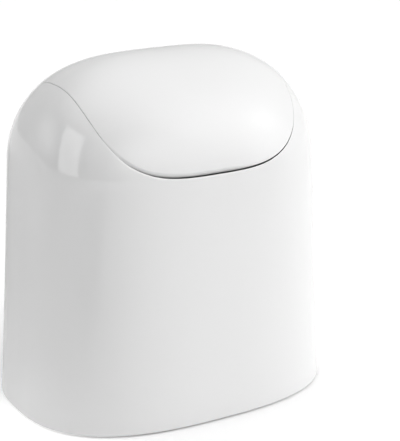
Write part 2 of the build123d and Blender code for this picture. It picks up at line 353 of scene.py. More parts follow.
@dataclass(frozen=True)
class SoftRubber:
    """Matte silicone with a dusty bloom."""

    name: str = "soft_silicone"
    shade: Shade = (0.30, 0.30, 0.30)
    roughness: float = 0.75
    limits: tuple[float, float] = (0.3, 1.0)
    bloom: Blotch = Blotch(3 * MM, 5.0)
    bloom_shade: float = 1.25
    bloom_roughness: float = 0.2
    pores: Blotch = Blotch(0.5 * MM, 2.0)
    pore_depth: float = 0.02 * MM
    pore_strength: float = 0.5

    def make(self) -> bpy.types.Material:
        """Builds the material.

        Returns:
            The material.
        """
        board = Paint(self.name)
        bloom = board.noise(self.bloom)
        board.tint(bloom, self.shade, scaled(self.shade, self.bloom_shade))
        board.roughen(
            bloom * self.bloom_roughness + (self.roughness - self.bloom_roughness / 2), self.limits
        )
        board.bump(board.noise(self.pores), self.pore_depth, self.pore_strength)
        return board.material


class Finish(Enum):
    """Finishes of the can, each with the record's material slot that it stands for."""

    SHELL = ("shell_white", GlossMoulding())
    BUCKET = ("bucket_grey", SatinMoulding("satin_bucket", (0.55, 0.56, 0.57), 0.38))
    TRAY = ("tray_grey", SatinMoulding("satin_tray", (0.66, 0.66, 0.66), 0.45))
    BRACKET = ("bracket_white", SatinMoulding("satin_bracket", (0.76, 0.76, 0.76), 0.5))
    ACETAL = (
        "acetal",
        SatinMoulding("smooth_acetal", (0.82, 0.82, 0.79), 0.3, grain_depth=0.005 * MM),
    )
    STEEL = ("steel", TurnedSteel())
    SILICONE = ("silicone", SoftRubber())

    @property
    def slot(self) -> str:
        """The record's material slot."""
        return self.value[0]

    @property
    def material(self) -> bpy.types.Material:
        """The finish's material, made on first use."""
        recipe = self.value[1]
        return bpy.data.materials.get(recipe.name) or recipe.make()


# ---------------------------------------------------------------------------
# Arrays of numbers and points
# ---------------------------------------------------------------------------

def mixed(first: object, second: object, share: object) -> np.ndarray:
    """Value between two others: first * (1 - share) + second * share."""
    return first * (1 - share) + second * share


def eased(value: np.ndarray, start: float, full: float) -> np.ndarray:
    """Smooth step 3 t^2 - 2 t^3, with t going from 0 at start to 1 at full."""
    share = np.clip((value - start) / (full - start), 0, 1)
    return share * share * (3 - 2 * share)


def unit(vectors: np.ndarray) -> np.ndarray:
    """Vectors brought to a length of 1."""
    return vectors / np.linalg.norm(vectors, axis=-1, keepdims=True)


def facing(azimuth: float, elevation: float) -> Point:
    """Unit vector at two angles in radians; azimuth 0 is the can's front, a quarter its right."""
    level = math.cos(elevation)
    return (math.sin(azimuth) * level, -math.cos(azimuth) * level, math.sin(elevation))


def crossing(
    low: np.ndarray, high: np.ndarray, before: Callable[[np.ndarray], np.ndarray]
) -> np.ndarray:
    """Finds where a test turns from True to False, by halving the interval again and again.

    Args:
        low: values where the test is True.
        high: values where it is False.
        before: the test, on whole arrays.

    Returns:
        The values where it turns.
    """
    for _ in range(HALVINGS):
        middle = (low + high) / 2
        passed = before(middle)
        low = np.where(passed, middle, low)
        high = np.where(passed, high, middle)
    return (low + high) / 2


def superellipse(roundness: float, columns: int) -> np.ndarray:
    """Ring of points where |x|^n + |y|^n = 1.

    Each is r * (cos t, sin t) with r = (|cos t|^n + |sin t|^n)^(-1 / n).

    Args:
        roundness: the power n.
        columns: number of points.

    Returns:
        Points, shape (columns, 2).
    """
    turn = np.linspace(0, 2 * math.pi, columns, endpoint=False)
    round_way = np.stack([np.cos(turn), np.sin(turn)], -1)
    reach = (np.abs(round_way) ** roundness).sum(axis=-1) ** (-1 / roundness)
    return reach[:, None] * round_way


def turned(profile: np.ndarray, sides: int) -> tuple[np.ndarray, np.ndarray, np.ndarray]:
    """Turns a profile about an axis: r * cos t, r * sin t and h for each point (r, h).

    Args:
        profile: points (radius, height along the axis), shape (count, 2).
        sides: number of points round the axis.

    Returns:
        Both coordinates across the axis and the one along it, shape (count, sides) each.
    """
    turn = np.linspace(0, 2 * math.pi, sides, endpoint=False)
    radius = profile[:, :1]
    return radius * np.cos(turn), radius * np.sin(turn), np.repeat(profile[:, 1:], sides, axis=1)


def corner_curve(
    start: np.ndarray, corner: np.ndarray, end: np.ndarray, steps: int
) -> np.ndarray:
    """Parabola from start to end with the corner as control point, for every column at once.

    Args:
        start: points, one for each column.
        corner: points, one for each column.
        end: points, one for each column.
        steps: number of rows.

    Returns:
        Rows of points, shape (steps, columns, dimensions).
    """
    share = np.linspace(0, 1, steps)[:, None, None]
    return (1 - share) ** 2 * start + 2 * share * (1 - share) * corner + share**2 * end


def rim_curve(
    start: np.ndarray, first: np.ndarray, second: np.ndarray, end: np.ndarray, steps: int
) -> np.ndarray:
    """Cubic curve from start to end with two control points, for every column at once.

    Args:
        start: points, one for each column.
        first: first control points.
        second: second control points.
        end: points, one for each column.
        steps: number of rows.

    Returns:
        Rows of points, shape (steps, columns, 3).
    """
    share = np.linspace(0, 1, steps)[:, None, None]
    left = 1 - share
    near = left**3 * start + 3 * left**2 * share * first
    return near + 3 * left * share**2 * second + share**3 * end


def step_toward(start: np.ndarray, end: np.ndarray, length: float | np.ndarray) -> np.ndarray:
    """Points a given length from start on the way to end."""
    return start + unit(end - start) * length


def softened(points: np.ndarray, radii: tuple[float, ...], steps: int = 5) -> np.ndarray:
    """Rounds the inner corners of an open profile.

    Each corner gives way to a parabola from a point one radius before it to a point
    one radius after it, with the corner as its control point.

    Args:
        points: profile, shape (count, 2).
        radii: one radius for each inner corner.
        steps: points on each rounded corner.

    Returns:
        The rounded profile, shape (more, 2).
    """
    before, corner, after = points[:-2], points[1:-1], points[2:]
    reach = np.array(radii)[:, None]
    just_short_of_half = 0.49

    def toward(target: np.ndarray) -> np.ndarray:
        """Point one radius from the corner, or almost half way, towards its neighbour."""
        length = np.linalg.norm(target - corner, axis=1, keepdims=True)
        return step_toward(corner, target, np.minimum(reach, length * just_short_of_half))

    curve = corner_curve(toward(before), corner, toward(after), steps)
    return np.concatenate([points[:1], curve.transpose(1, 0, 2).reshape(-1, 2), points[-1:]])


# ---------------------------------------------------------------------------
# Objects from arrays
# ---------------------------------------------------------------------------

def linked(name: str, data: bpy.types.ID) -> bpy.types.Object:
    """Puts a mesh, a light or a camera into the scene as an object.

    Args:
        name: the object's name.
        data: what it shows.

    Returns:
        The new object.
    """
    obj = bpy.data.objects.new(name, data)
    bpy.context.scene.collection.objects.link(obj)
    return obj


def aimed(right: np.ndarray, up: np.ndarray, back: np.ndarray, spot: np.ndarray) -> Matrix:
    """Place of a light or camera.

    Args:
        right: direction of its own X.
        up: direction of its own Y.
        back: direction of its own Z, which it looks away from.
        spot: where it stands.

    Returns:
        The matrix for its object.
    """
    place = np.eye(4)
    place[:3] = np.stack([right, up, back, spot], axis=1)
    return Matrix(place.tolist())


class Mould:
    """Turns arrays of points into mesh objects that ride on the frame's bodies."""

    @staticmethod
    def piece(
        name: str, vertices: np.ndarray, quads: np.ndarray, triangles: np.ndarray = NO_TRIANGLES
    ) -> bpy.types.Object:
        """Makes a smooth-shaded object from vertex and face arrays.

        Args:
            name: the piece's name.
            vertices: points, shape (count, 3).
            quads: vertex numbers, shape (count, 4).
            triangles: vertex numbers, shape (count, 3).

        Returns:
            The new object, linked to the scene.
        """
        mesh = bpy.data.meshes.new(name)
        loops = np.concatenate([quads.ravel(), triangles.ravel()]).astype(np.int32)
        sizes = np.repeat([4, 3], [len(quads), len(triangles)]).astype(np.int32)
        starts = np.concatenate([[0], np.cumsum(sizes)[:-1]]).astype(np.int32)
        mesh.vertices.add(len(vertices))
        mesh.vertices.foreach_set("co", vertices.astype(np.float32).ravel())
        mesh.loops.add(len(loops))
        mesh.loops.foreach_set("vertex_index", loops)
        mesh.polygons.add(len(sizes))
        mesh.polygons.foreach_set("loop_start", starts)
        mesh.polygons.foreach_set("loop_total", sizes)
        mesh.update(calc_edges=True)
        mesh.validate()
        mesh.shade_smooth()
        return linked(name, mesh)

    @staticmethod
    def band(lower: np.ndarray, upper: np.ndarray) -> np.ndarray:
        """Quads between rows of vertex numbers, closed across the columns.

        Args:
            lower: vertex numbers, shape (rows, columns).
            upper: vertex numbers of the rows that each of them joins.

        Returns:
            Quads, shape (rows * columns, 4).
        """
        corners = [lower, np.roll(lower, -1, axis=1), np.roll(upper, -1, axis=1), upper]
        return np.stack(corners, axis=-1).reshape(-1, 4)

    @staticmethod
    def skin(
        name: str,
        rows: np.ndarray,
        first_pole: Point | np.ndarray | None = None,
        last_pole: Point | np.ndarray | None = None,
        closed_rows: bool = False,
        crisp: bool = False,
    ) -> bpy.types.Object:
        """Makes a surface from a grid that closes on itself across its columns.

        Args:
            name: the piece's name.
            rows: points, shape (rows, columns, 3).
            first_pole: point that closes the first row with triangles, if any.
            last_pole: point that closes the last row with triangles, if any.
            closed_rows: True where the last row joins the first, as on a ring.
            crisp: True where edges sharper than CRISP_ANGLE aren't shaded smooth.

        Returns:
            The new object, with its faces outwards.
        """
        count, around = rows.shape[:2]
        numbers = np.arange(count * around).reshape(count, around)
        if closed_rows:
            quads = Mould.band(numbers, np.roll(numbers, -1, axis=0))
        else:
            quads = Mould.band(numbers[:-1], numbers[1:])
        vertices = [rows.reshape(-1, 3)]
        fans = [NO_TRIANGLES]
        for pole, ring, way in ((first_pole, numbers[0], -1), (last_pole, numbers[-1], 1)):
            if pole is not None:
                hub = np.full(around, sum(len(part) for part in vertices))
                fans.append(np.stack([ring, np.roll(ring, -1), hub], axis=-1)[:, ::way])
                vertices.append(np.asarray(pole, float).reshape(1, 3))
        obj = Mould.piece(name, np.concatenate(vertices), quads, np.concatenate(fans))
        Mould.face_out(obj)
        if crisp:
            obj.data.set_sharp_from_angle(angle=CRISP_ANGLE)
        return obj

    @staticmethod
    def bar(name: str, rings: np.ndarray, bevel: float) -> bpy.types.Object:
        """Makes a solid bar from closed rings of corners, with flat ends.

        Args:
            name: the piece's name.
            rings: points, shape (rings, corners, 3), corners in order round each ring.
            bevel: width of the softened edges.

        Returns:
            The new object, flat-shaded, with a Bevel modifier.
        """
        count, corners = rings.shape[:2]
        numbers = np.arange(count * corners).reshape(count, corners)
        faces = Mould.band(numbers[:-1], numbers[1:]).tolist()
        faces += [numbers[0, ::-1].tolist(), numbers[-1].tolist()]
        mesh = bpy.data.meshes.new(name)
        mesh.from_pydata(rings.reshape(-1, 3).tolist(), [], faces)
        obj = linked(name, mesh)
        Mould.face_out(obj)
        soft = obj.modifiers.new("soft_edges", "BEVEL")
        soft.width = bevel
        soft.segments = 2
        soft.limit_method = "ANGLE"
        soft.angle_limit = BEVEL_ANGLE
        return obj

    @staticmethod
    def face_out(obj: bpy.types.Object) -> None:
        """Turns a closed mesh's faces outwards where its volume comes out negative.

        The volume is a sixth of the sum of a . (b x c) over its triangles.

        Args:
            obj: the object.
        """
        mesh = obj.data
        mesh.calc_loop_triangles()
        corners = np.empty(len(mesh.vertices) * 3)
        mesh.vertices.foreach_get("co", corners)
        trios = np.empty(len(mesh.loop_triangles) * 3, int)
        mesh.loop_triangles.foreach_get("vertices", trios)
        a, b, c = corners.reshape(-1, 3)[trios.reshape(-1, 3)].transpose(1, 0, 2)
        if np.einsum("ij,ij->i", a, np.cross(b, c)).sum() < 0:
            mesh.flip_normals()

    @staticmethod
    def ride(obj: bpy.types.Object, body: str, finish: Finish, *replaced: str) -> None:
        """Gives a piece its body and finish, and hides the CAD nodes that it stands for.

        Args:
            obj: the piece.
            body: name of the frame's body.
            finish: the piece's finish.
            replaced: names of the CAD nodes.
        """
        obj.data.materials.append(finish.material)
        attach(obj, body)
        if replaced:
            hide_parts(*replaced)
        log.info("%s rides on %s, finish %s", obj.name, body, finish.name)

    @staticmethod
    def dress(node: str, finish: Finish) -> None:
        """Gives a CAD node that keeps its own mesh its finish.

        Args:
            node: name of the CAD node.
            finish: its finish.
        """
        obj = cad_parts[node]
        obj.data.materials.clear()
        obj.data.materials.append(finish.material)
        log.info("%s keeps its mesh, finish %s", node, finish.name)


# ---------------------------------------------------------------------------
# The form that shell and lid share
# ---------------------------------------------------------------------------

@dataclass
class CanForm:
    """Drafted walls that sweep into a dome, and the wedge that the lid opening is cut with.

    A level section is the superellipse |x / half_x|^n + |y / half_y|^n = 1. Above the
    shoulder each half size shrinks by (1 - climb^rise)^(1 / spread), where climb goes
    from 0 at the shoulder to 1 at the crown. The gap between shell and lid opens, and the
    lid's lip starts, at given distances |y| of the seam from the middle; the lip fades
    between two places x.
    """

    wall: float = 2.4 * MM
    side_draft: float = math.radians(2.84)
    front_draft: float = math.radians(2.06)
    foot_flare: float = 0.65 * MM
    foot_flare_height: float = 61.0 * MM
    shoulder_height: float = 122.0 * MM
    crown_height: float = 174.0 * MM
    plan_roundness: float = 2.65
    side_rise: float = 2.15
    side_spread: float = 3.24
    front_rise: float = 1.85
    front_spread: float = 1.93
    lip_height: float = 125.1 * MM
    seam_sag: float = 12.0 * MM
    opening_half_width: float = 57.0 * MM
    opening_roundness: float = 2.89
    swing_draft: float = math.radians(27.9)
    seam_gap: float = 0.5 * MM
    gap_opens_at: float = 49.5 * MM
    gap_open_at: float = 54.4 * MM
    lip_starts_at: float = 37.0 * MM
    lip_full_at: float = 49.0 * MM
    lip_fades_at: float = 4.0 * MM
    lip_gone_at: float = 28.0 * MM
    columns: int = 480
    half_width: float = field(init=False)
    half_depth: float = field(init=False)
    foot: float = field(init=False)
    across: np.ndarray = field(init=False)
    deep: np.ndarray = field(init=False)
    lip_half_depth: float = field(init=False)
    seam: np.ndarray = field(init=False)

    def __post_init__(self) -> None:
        """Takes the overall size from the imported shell, and works out ring and nominal seam."""
        low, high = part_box("outer_shell")
        self.half_width = (high.x - low.x) / 2
        self.half_depth = (high.y - low.y) / 2
        self.foot = low.z
        self.across, self.deep = superellipse(self.plan_roundness, self.columns).T
        self.lip_half_depth = float(self.halves(self.lip_height, 0.0)[1])
        self.seam = self.ring(self.seam_height(0.0, 0.0), 0.0)

    def halves(self, z: float | np.ndarray, inset: float) -> tuple[np.ndarray, np.ndarray]:
        """Half width and half depth of the form.

        The draft takes z * tan(draft) off, and the foot flares out by
        foot_flare * ((1 - z / foot_flare_height)^2 - 1).

        Args:
            z: heights.
            inset: how far the form is moved inward.

        Returns:
            Half width and half depth at each height.
        """
        climb = (z - self.shoulder_height) / (self.crown_height - inset - self.shoulder_height)
        climb = np.clip(climb, 0.0, 1.0)
        above_foot = np.clip(1 - np.maximum(z, 0) / self.foot_flare_height, 0, 1)
        flare = self.foot_flare * (above_foot**2 - 1)
        half_x = self.half_width - z * math.tan(self.side_draft) + flare - inset
        half_y = self.half_depth - z * math.tan(self.front_draft) + flare - inset
        return (
            half_x * (1 - climb**self.side_rise) ** (1 / self.side_spread),
            half_y * (1 - climb**self.front_rise) ** (1 / self.front_spread),
        )

    def level(self, points: np.ndarray, inset: float) -> np.ndarray:
        """|x / half_x(z)|^n + |y / half_y(z)|^n: under 1 inside the form, over 1 outside it.

        Args:
            points: points, shape (..., 3).
            inset: how far the form is moved inward.

        Returns:
            The value for each point.
        """
        half_x, half_y = self.halves(points[..., 2], inset)
        fill = (np.abs(points[..., 0]) / np.maximum(half_x, TINY)) ** self.plan_roundness
        return fill + (np.abs(points[..., 1]) / np.maximum(half_y, TINY)) ** self.plan_roundness

    def ring(self, z: float | np.ndarray, inset: float) -> np.ndarray:
        """Points (across * half_x, deep * half_y, z), one for each column.

        Args:
            z: one height for each column, or one for all.
            inset: how far the form is moved inward.

        Returns:
            Points, shape (columns, 3).
        """
        half_x, half_y = self.halves(z, inset)
        height = np.broadcast_to(z, self.across.shape)
        return np.stack([self.across * half_x, self.deep * half_y, height], -1)

    def bow(self, offset: float, half: float | np.ndarray) -> float | np.ndarray:
        """Share of the other half size that a section has at an offset from its middle."""
        return (1 - (abs(offset) / half) ** self.plan_roundness) ** (1 / self.plan_roundness)

    def outside_wedge(self, points: np.ndarray, grow: float | np.ndarray) -> np.ndarray:
        """|x / a|^m + |y / b(z)|^m - 1 of the wedge: under 0 inside it, over 0 outside it.

        Args:
            points: points, shape (..., 3).
            grow: how much wider the wedge is all round.

        Returns:
            The value for each point.
        """
        rise = points[..., 2] - self.lip_height
        depth = self.lip_half_depth + rise * math.tan(self.swing_draft)
        return (
            np.abs(points[..., 0] / (self.opening_half_width + grow)) ** self.opening_roundness
            + np.abs(points[..., 1] / (depth + grow)) ** self.opening_roundness
            - 1
        )

    def seam_height(self, inset: float, grow: float | np.ndarray) -> np.ndarray:
        """Height at which each column meets the wedge.

        Args:
            inset: how far the form is moved inward.
            grow: how much wider the wedge is, for each column or for all.

        Returns:
            One height for each column.
        """
        return crossing(
            np.full(self.columns, self.lip_height - self.seam_sag),
            np.full(self.columns, self.crown_height - inset - HAIR),
            lambda z: self.outside_wedge(self.ring(z, inset), grow) > 0,
        )

    def toward_lip(self, start: float, full: float) -> np.ndarray:
        """Smooth step for each column, from 0 to 1 as the seam's |y| goes from start to full."""
        return eased(np.abs(self.seam[:, 1]), start, full)

    def gap_share(self) -> np.ndarray:
        """How far each column's gap is open: shut at the sides, open at front and rear."""
        return self.toward_lip(self.gap_opens_at, self.gap_open_at)

    def lip_share(self) -> np.ndarray:
        """How much of the rolled lip each column has: it fades towards the right."""
        fade = eased(self.seam[:, 0], self.lip_fades_at, self.lip_gone_at)
        return self.toward_lip(self.lip_starts_at, self.lip_full_at) * (1 - fade)

    @staticmethod
    def pulled_back(rows: np.ndarray, length: np.ndarray) -> np.ndarray:
        """Rows respaced so that the last one stops a given length short of the seam.

        Args:
            rows: rows that end at the seam, shape (rows, columns, 3).
            length: how far each column stops short, shape (columns, 1).

        Returns:
            Rows of the same shape, spaced by arc length s as s * (1 - length / whole).
        """
        steps = np.linalg.norm(np.diff(rows, axis=0), axis=-1)
        run = np.concatenate([np.zeros((1, steps.shape[1])), np.cumsum(steps, axis=0)])
        wanted = run * (1 - length[:, 0] / run[-1])
        after = np.clip((run[None] < wanted[:, None]).sum(axis=1), 1, len(run) - 1)
        columns = np.arange(run.shape[1])[None]
        start, end = run[after - 1, columns], run[after, columns]
        share = ((wanted - start) / np.maximum(end - start, TINY))[..., None]
        return mixed(rows[after - 1, columns], rows[after, columns], share)

    def along_ray(self, core: np.ndarray, way: np.ndarray, inset: float) -> np.ndarray:
        """Points where rays from a core point leave the form.

        Args:
            core: the point inside the form that the rays start from.
            way: unit directions, shape (..., 3).
            inset: how far the form is moved inward.

        Returns:
            The points, shape (..., 3).
        """
        def inside(reach: np.ndarray) -> np.ndarray:
            """True where a point that far along its ray is inside the form."""
            point = core + way * reach[..., None]
            return (self.level(point, inset) < 1) & (point[..., 2] < self.crown_height - inset)

        start = np.zeros(way.shape[:-1])
        reach = crossing(start, start + 2 * self.half_width, inside)
        return core + way * reach[..., None]

    def outward(self, points: np.ndarray) -> np.ndarray:
        """Unit normals of the outer form: the gradient of level, taken by differences.

        Args:
            points: points on the form, shape (..., 3).

        Returns:
            Unit vectors, shape (..., 3).
        """
        steps = HAIR * np.eye(3)
        slopes = [self.level(points + s, 0.0) - self.level(points - s, 0.0) for s in steps]
        return unit(np.stack(slopes, -1))

    def under_skin(self, x: np.ndarray, y: np.ndarray, inset: float) -> np.ndarray:
        """Height of the form over places in plan.

        Args:
            x: places across.
            y: places front to rear, in the same shape.
            inset: how far the form is moved inward.

        Returns:
            The heights.
        """
        return crossing(
            np.full(x.shape, self.foot),
            np.full(x.shape, self.crown_height - inset),
            lambda z: self.level(np.stack([x, y, z], -1), inset) < 1,
        )


# ---------------------------------------------------------------------------
# Sub-assemblies
# ---------------------------------------------------------------------------

@dataclass
class CoverShell:
    """The one-piece outer shell, its bosses and ribs, and the brackets that hold the lid.

    side_fill is how much of the seam's gap the rim takes up where the gap is shut, and
    rim_tip is how far the rim rolls in under the lid's lip.
    """

    form: CanForm
    foot_round: float = 0.6 * MM
    foot_steps: int = 5
    rim_round: float = 1.0 * MM
    rim_steps: int = 10
    rim_round_within: float = 0.5 * MM
    within_steps: int = 4
    rim_tip: float = 0.8 * MM
    side_fill: float = 0.18 * MM
    wall_rows: int = 88
    row_crowding: float = 0.62
    rest_rib_thickness: float = 2.0 * MM
    rest_rib_height: float = 16.0 * MM
    rest_rib_offset: float = 36.0 * MM
    rest_rib_lap: float = 2.0 * MM
    rest_rib_gap: float = 0.3 * MM
    rest_rib_soft: float = 0.3 * MM
    rest_rib_rows: int = 9
    boss_radius: float = 3.3 * MM
    boss_soft: float = 0.4 * MM
    boss_bore: float = 1.55 * MM
    boss_bore_soft: float = 0.3 * MM
    boss_bore_depth: float = 8.0 * MM
    boss_lap: float = 0.8 * MM
    boss_sides: int = 32
    screw_bite: float = 7.0 * MM

    def build(self) -> None:
        """Makes the shell and dresses the pieces that ride with it."""
        self.make_shell()
        self.make_rest_ribs()
        for side in ("left", "right"):
            self.make_bosses(side)
            Mould.dress(f"pivot_bracket_{side}", Finish.BRACKET)
            Mould.dress(f"pivot_bush_{side}", Finish.ACETAL)
            Mould.dress(f"bracket_screws_{side}", Finish.STEEL)

    def wall_face(self, inset: float, top: np.ndarray) -> np.ndarray:
        """Rows of the wall from the foot to a top height for each column.

        The rows are spaced by a share v^row_crowding, closer together towards the seam.

        Args:
            inset: how far the face lies inside the outer form.
            top: one height for each column.

        Returns:
            Points, shape (wall_rows, columns, 3).
        """
        share = np.linspace(0, 1, self.wall_rows)[:, None] ** self.row_crowding
        bottom = self.form.foot + self.foot_round
        heights = bottom + share * (top - bottom)
        return np.stack([self.form.ring(row, inset) for row in heights])

    def make_shell(self) -> None:
        """Outer wall, rolled rim, cut face, inner wall and foot as one closed skin."""
        form = self.form
        grow = form.seam_gap / 2 - self.side_fill * (1 - form.gap_share())
        outer_seam = form.seam_height(0.0, grow)
        inner_seam = form.seam_height(form.wall, grow)
        outer_corner = form.ring(outer_seam, 0.0)
        inner_corner = form.ring(inner_seam, form.wall)
        tip = self.rim_tip * form.lip_share()[:, None]
        tip_corner = outer_corner - tip * form.outward(outer_corner)
        outer = self.wall_face(0.0, outer_seam)
        outer = form.pulled_back(outer, np.full((form.columns, 1), self.rim_round))
        inner = self.wall_face(form.wall, inner_seam - self.rim_round_within)
        cut_start = step_toward(tip_corner, inner_corner, self.rim_round_within)
        cut_end = step_toward(inner_corner, tip_corner, self.rim_round_within)
        foot_outer, foot_inner = form.ring(form.foot, 0.0), form.ring(form.foot, form.wall)
        sole_inner = step_toward(foot_inner, foot_outer, self.foot_round)
        sole_outer = step_toward(foot_outer, foot_inner, self.foot_round)
        rows = np.concatenate([
            outer,
            rim_curve(outer[-1], outer_corner, tip_corner, cut_start, self.rim_steps)[1:],
            corner_curve(cut_end, inner_corner, inner[-1], self.within_steps)[:-1],
            inner[::-1],
            corner_curve(inner[0], foot_inner, sole_inner, self.within_steps)[1:],
            corner_curve(sole_outer, foot_outer, outer[0], self.foot_steps)[:-1],
        ])
        shell = Mould.skin("shell_skin", rows, closed_rows=True)
        Mould.ride(shell, "cover", Finish.SHELL, "outer_shell")

    def make_rest_ribs(self) -> None:
        """Six short ribs inside the wall, which stand on the rim of the base tray.

        Each is a plate that runs from the middle of the wall, half(z) * bow, in to the
        tray's rim, where bow is the share of the half size that is left at its offset.
        """
        form = self.form
        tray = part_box("base_tray")[1]
        low = tray.z + self.rest_rib_gap
        heights = np.linspace(low, low + self.rest_rib_height, self.rest_rib_rows)
        halves = form.halves(heights, form.wall / 2)
        half = self.rest_rib_thickness / 2
        places = [(0, side, 0.0) for side in (1, -1)]
        offsets = (-self.rest_rib_offset, self.rest_rib_offset)
        places += [(1, side, offset) for side in (-1, 1) for offset in offsets]
        for number, (axis, side, offset) in enumerate(places):
            outer = side * halves[axis] * form.bow(offset, halves[1 - axis])
            tray_rim = tray[axis] * form.bow(offset, tray[1 - axis])
            inner = np.full(heights.shape, side * (tray_rim - self.rest_rib_lap))
            rings = []
            for reach, step in ((outer, -half), (outer, half), (inner, half), (inner, -half)):
                plan = (reach, np.full(heights.shape, offset + step))
                x, y = plan if axis == 0 else plan[::-1]
                rings.append(np.stack([x, y, heights], -1))
            name = f"shell_rest_rib_{number + 1}"
            rib = Mould.bar(name, np.stack(rings, 1), self.rest_rib_soft)
            Mould.ride(rib, "cover", Finish.SHELL)

    def make_bosses(self, side: str) -> None:
        """Hollow screw bosses that hang from an ear down to the bracket's feet.

        Each is a profile turned about the screw: down the bore, out over its foot, and up
        to the inner face of the shell.

        Args:
            side: "left" or "right".
        """
        radius, bore, depth = self.boss_radius, self.boss_bore, self.boss_bore_depth
        profile = np.array([
            [bore, depth], [bore, self.boss_bore_soft], [bore + self.boss_bore_soft, 0.0],
            [radius - self.boss_soft, 0.0], [radius, self.boss_soft], [radius, depth],
        ])
        low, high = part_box(f"bracket_screws_{side}")
        head = (high.x - low.x) / 2
        x, bottom = (low.x + high.x) / 2, high.z - self.screw_bite
        for end, y in (("front", low.y + head), ("rear", high.y - head)):
            across, deep, height = turned(profile, self.boss_sides)
            rows = np.stack([x + across, y + deep, bottom + height], -1)
            top = self.form.under_skin(rows[-1, :, 0], rows[-1, :, 1], self.form.wall)
            rows[-1, :, 2] = top + self.boss_lap
            boss = Mould.skin(
                f"screw_boss_{side}_{end}", rows, (x, y, bottom + depth), rows[-1].mean(axis=0),
                crisp=True,
            )
            Mould.ride(boss, "cover", Finish.SHELL)


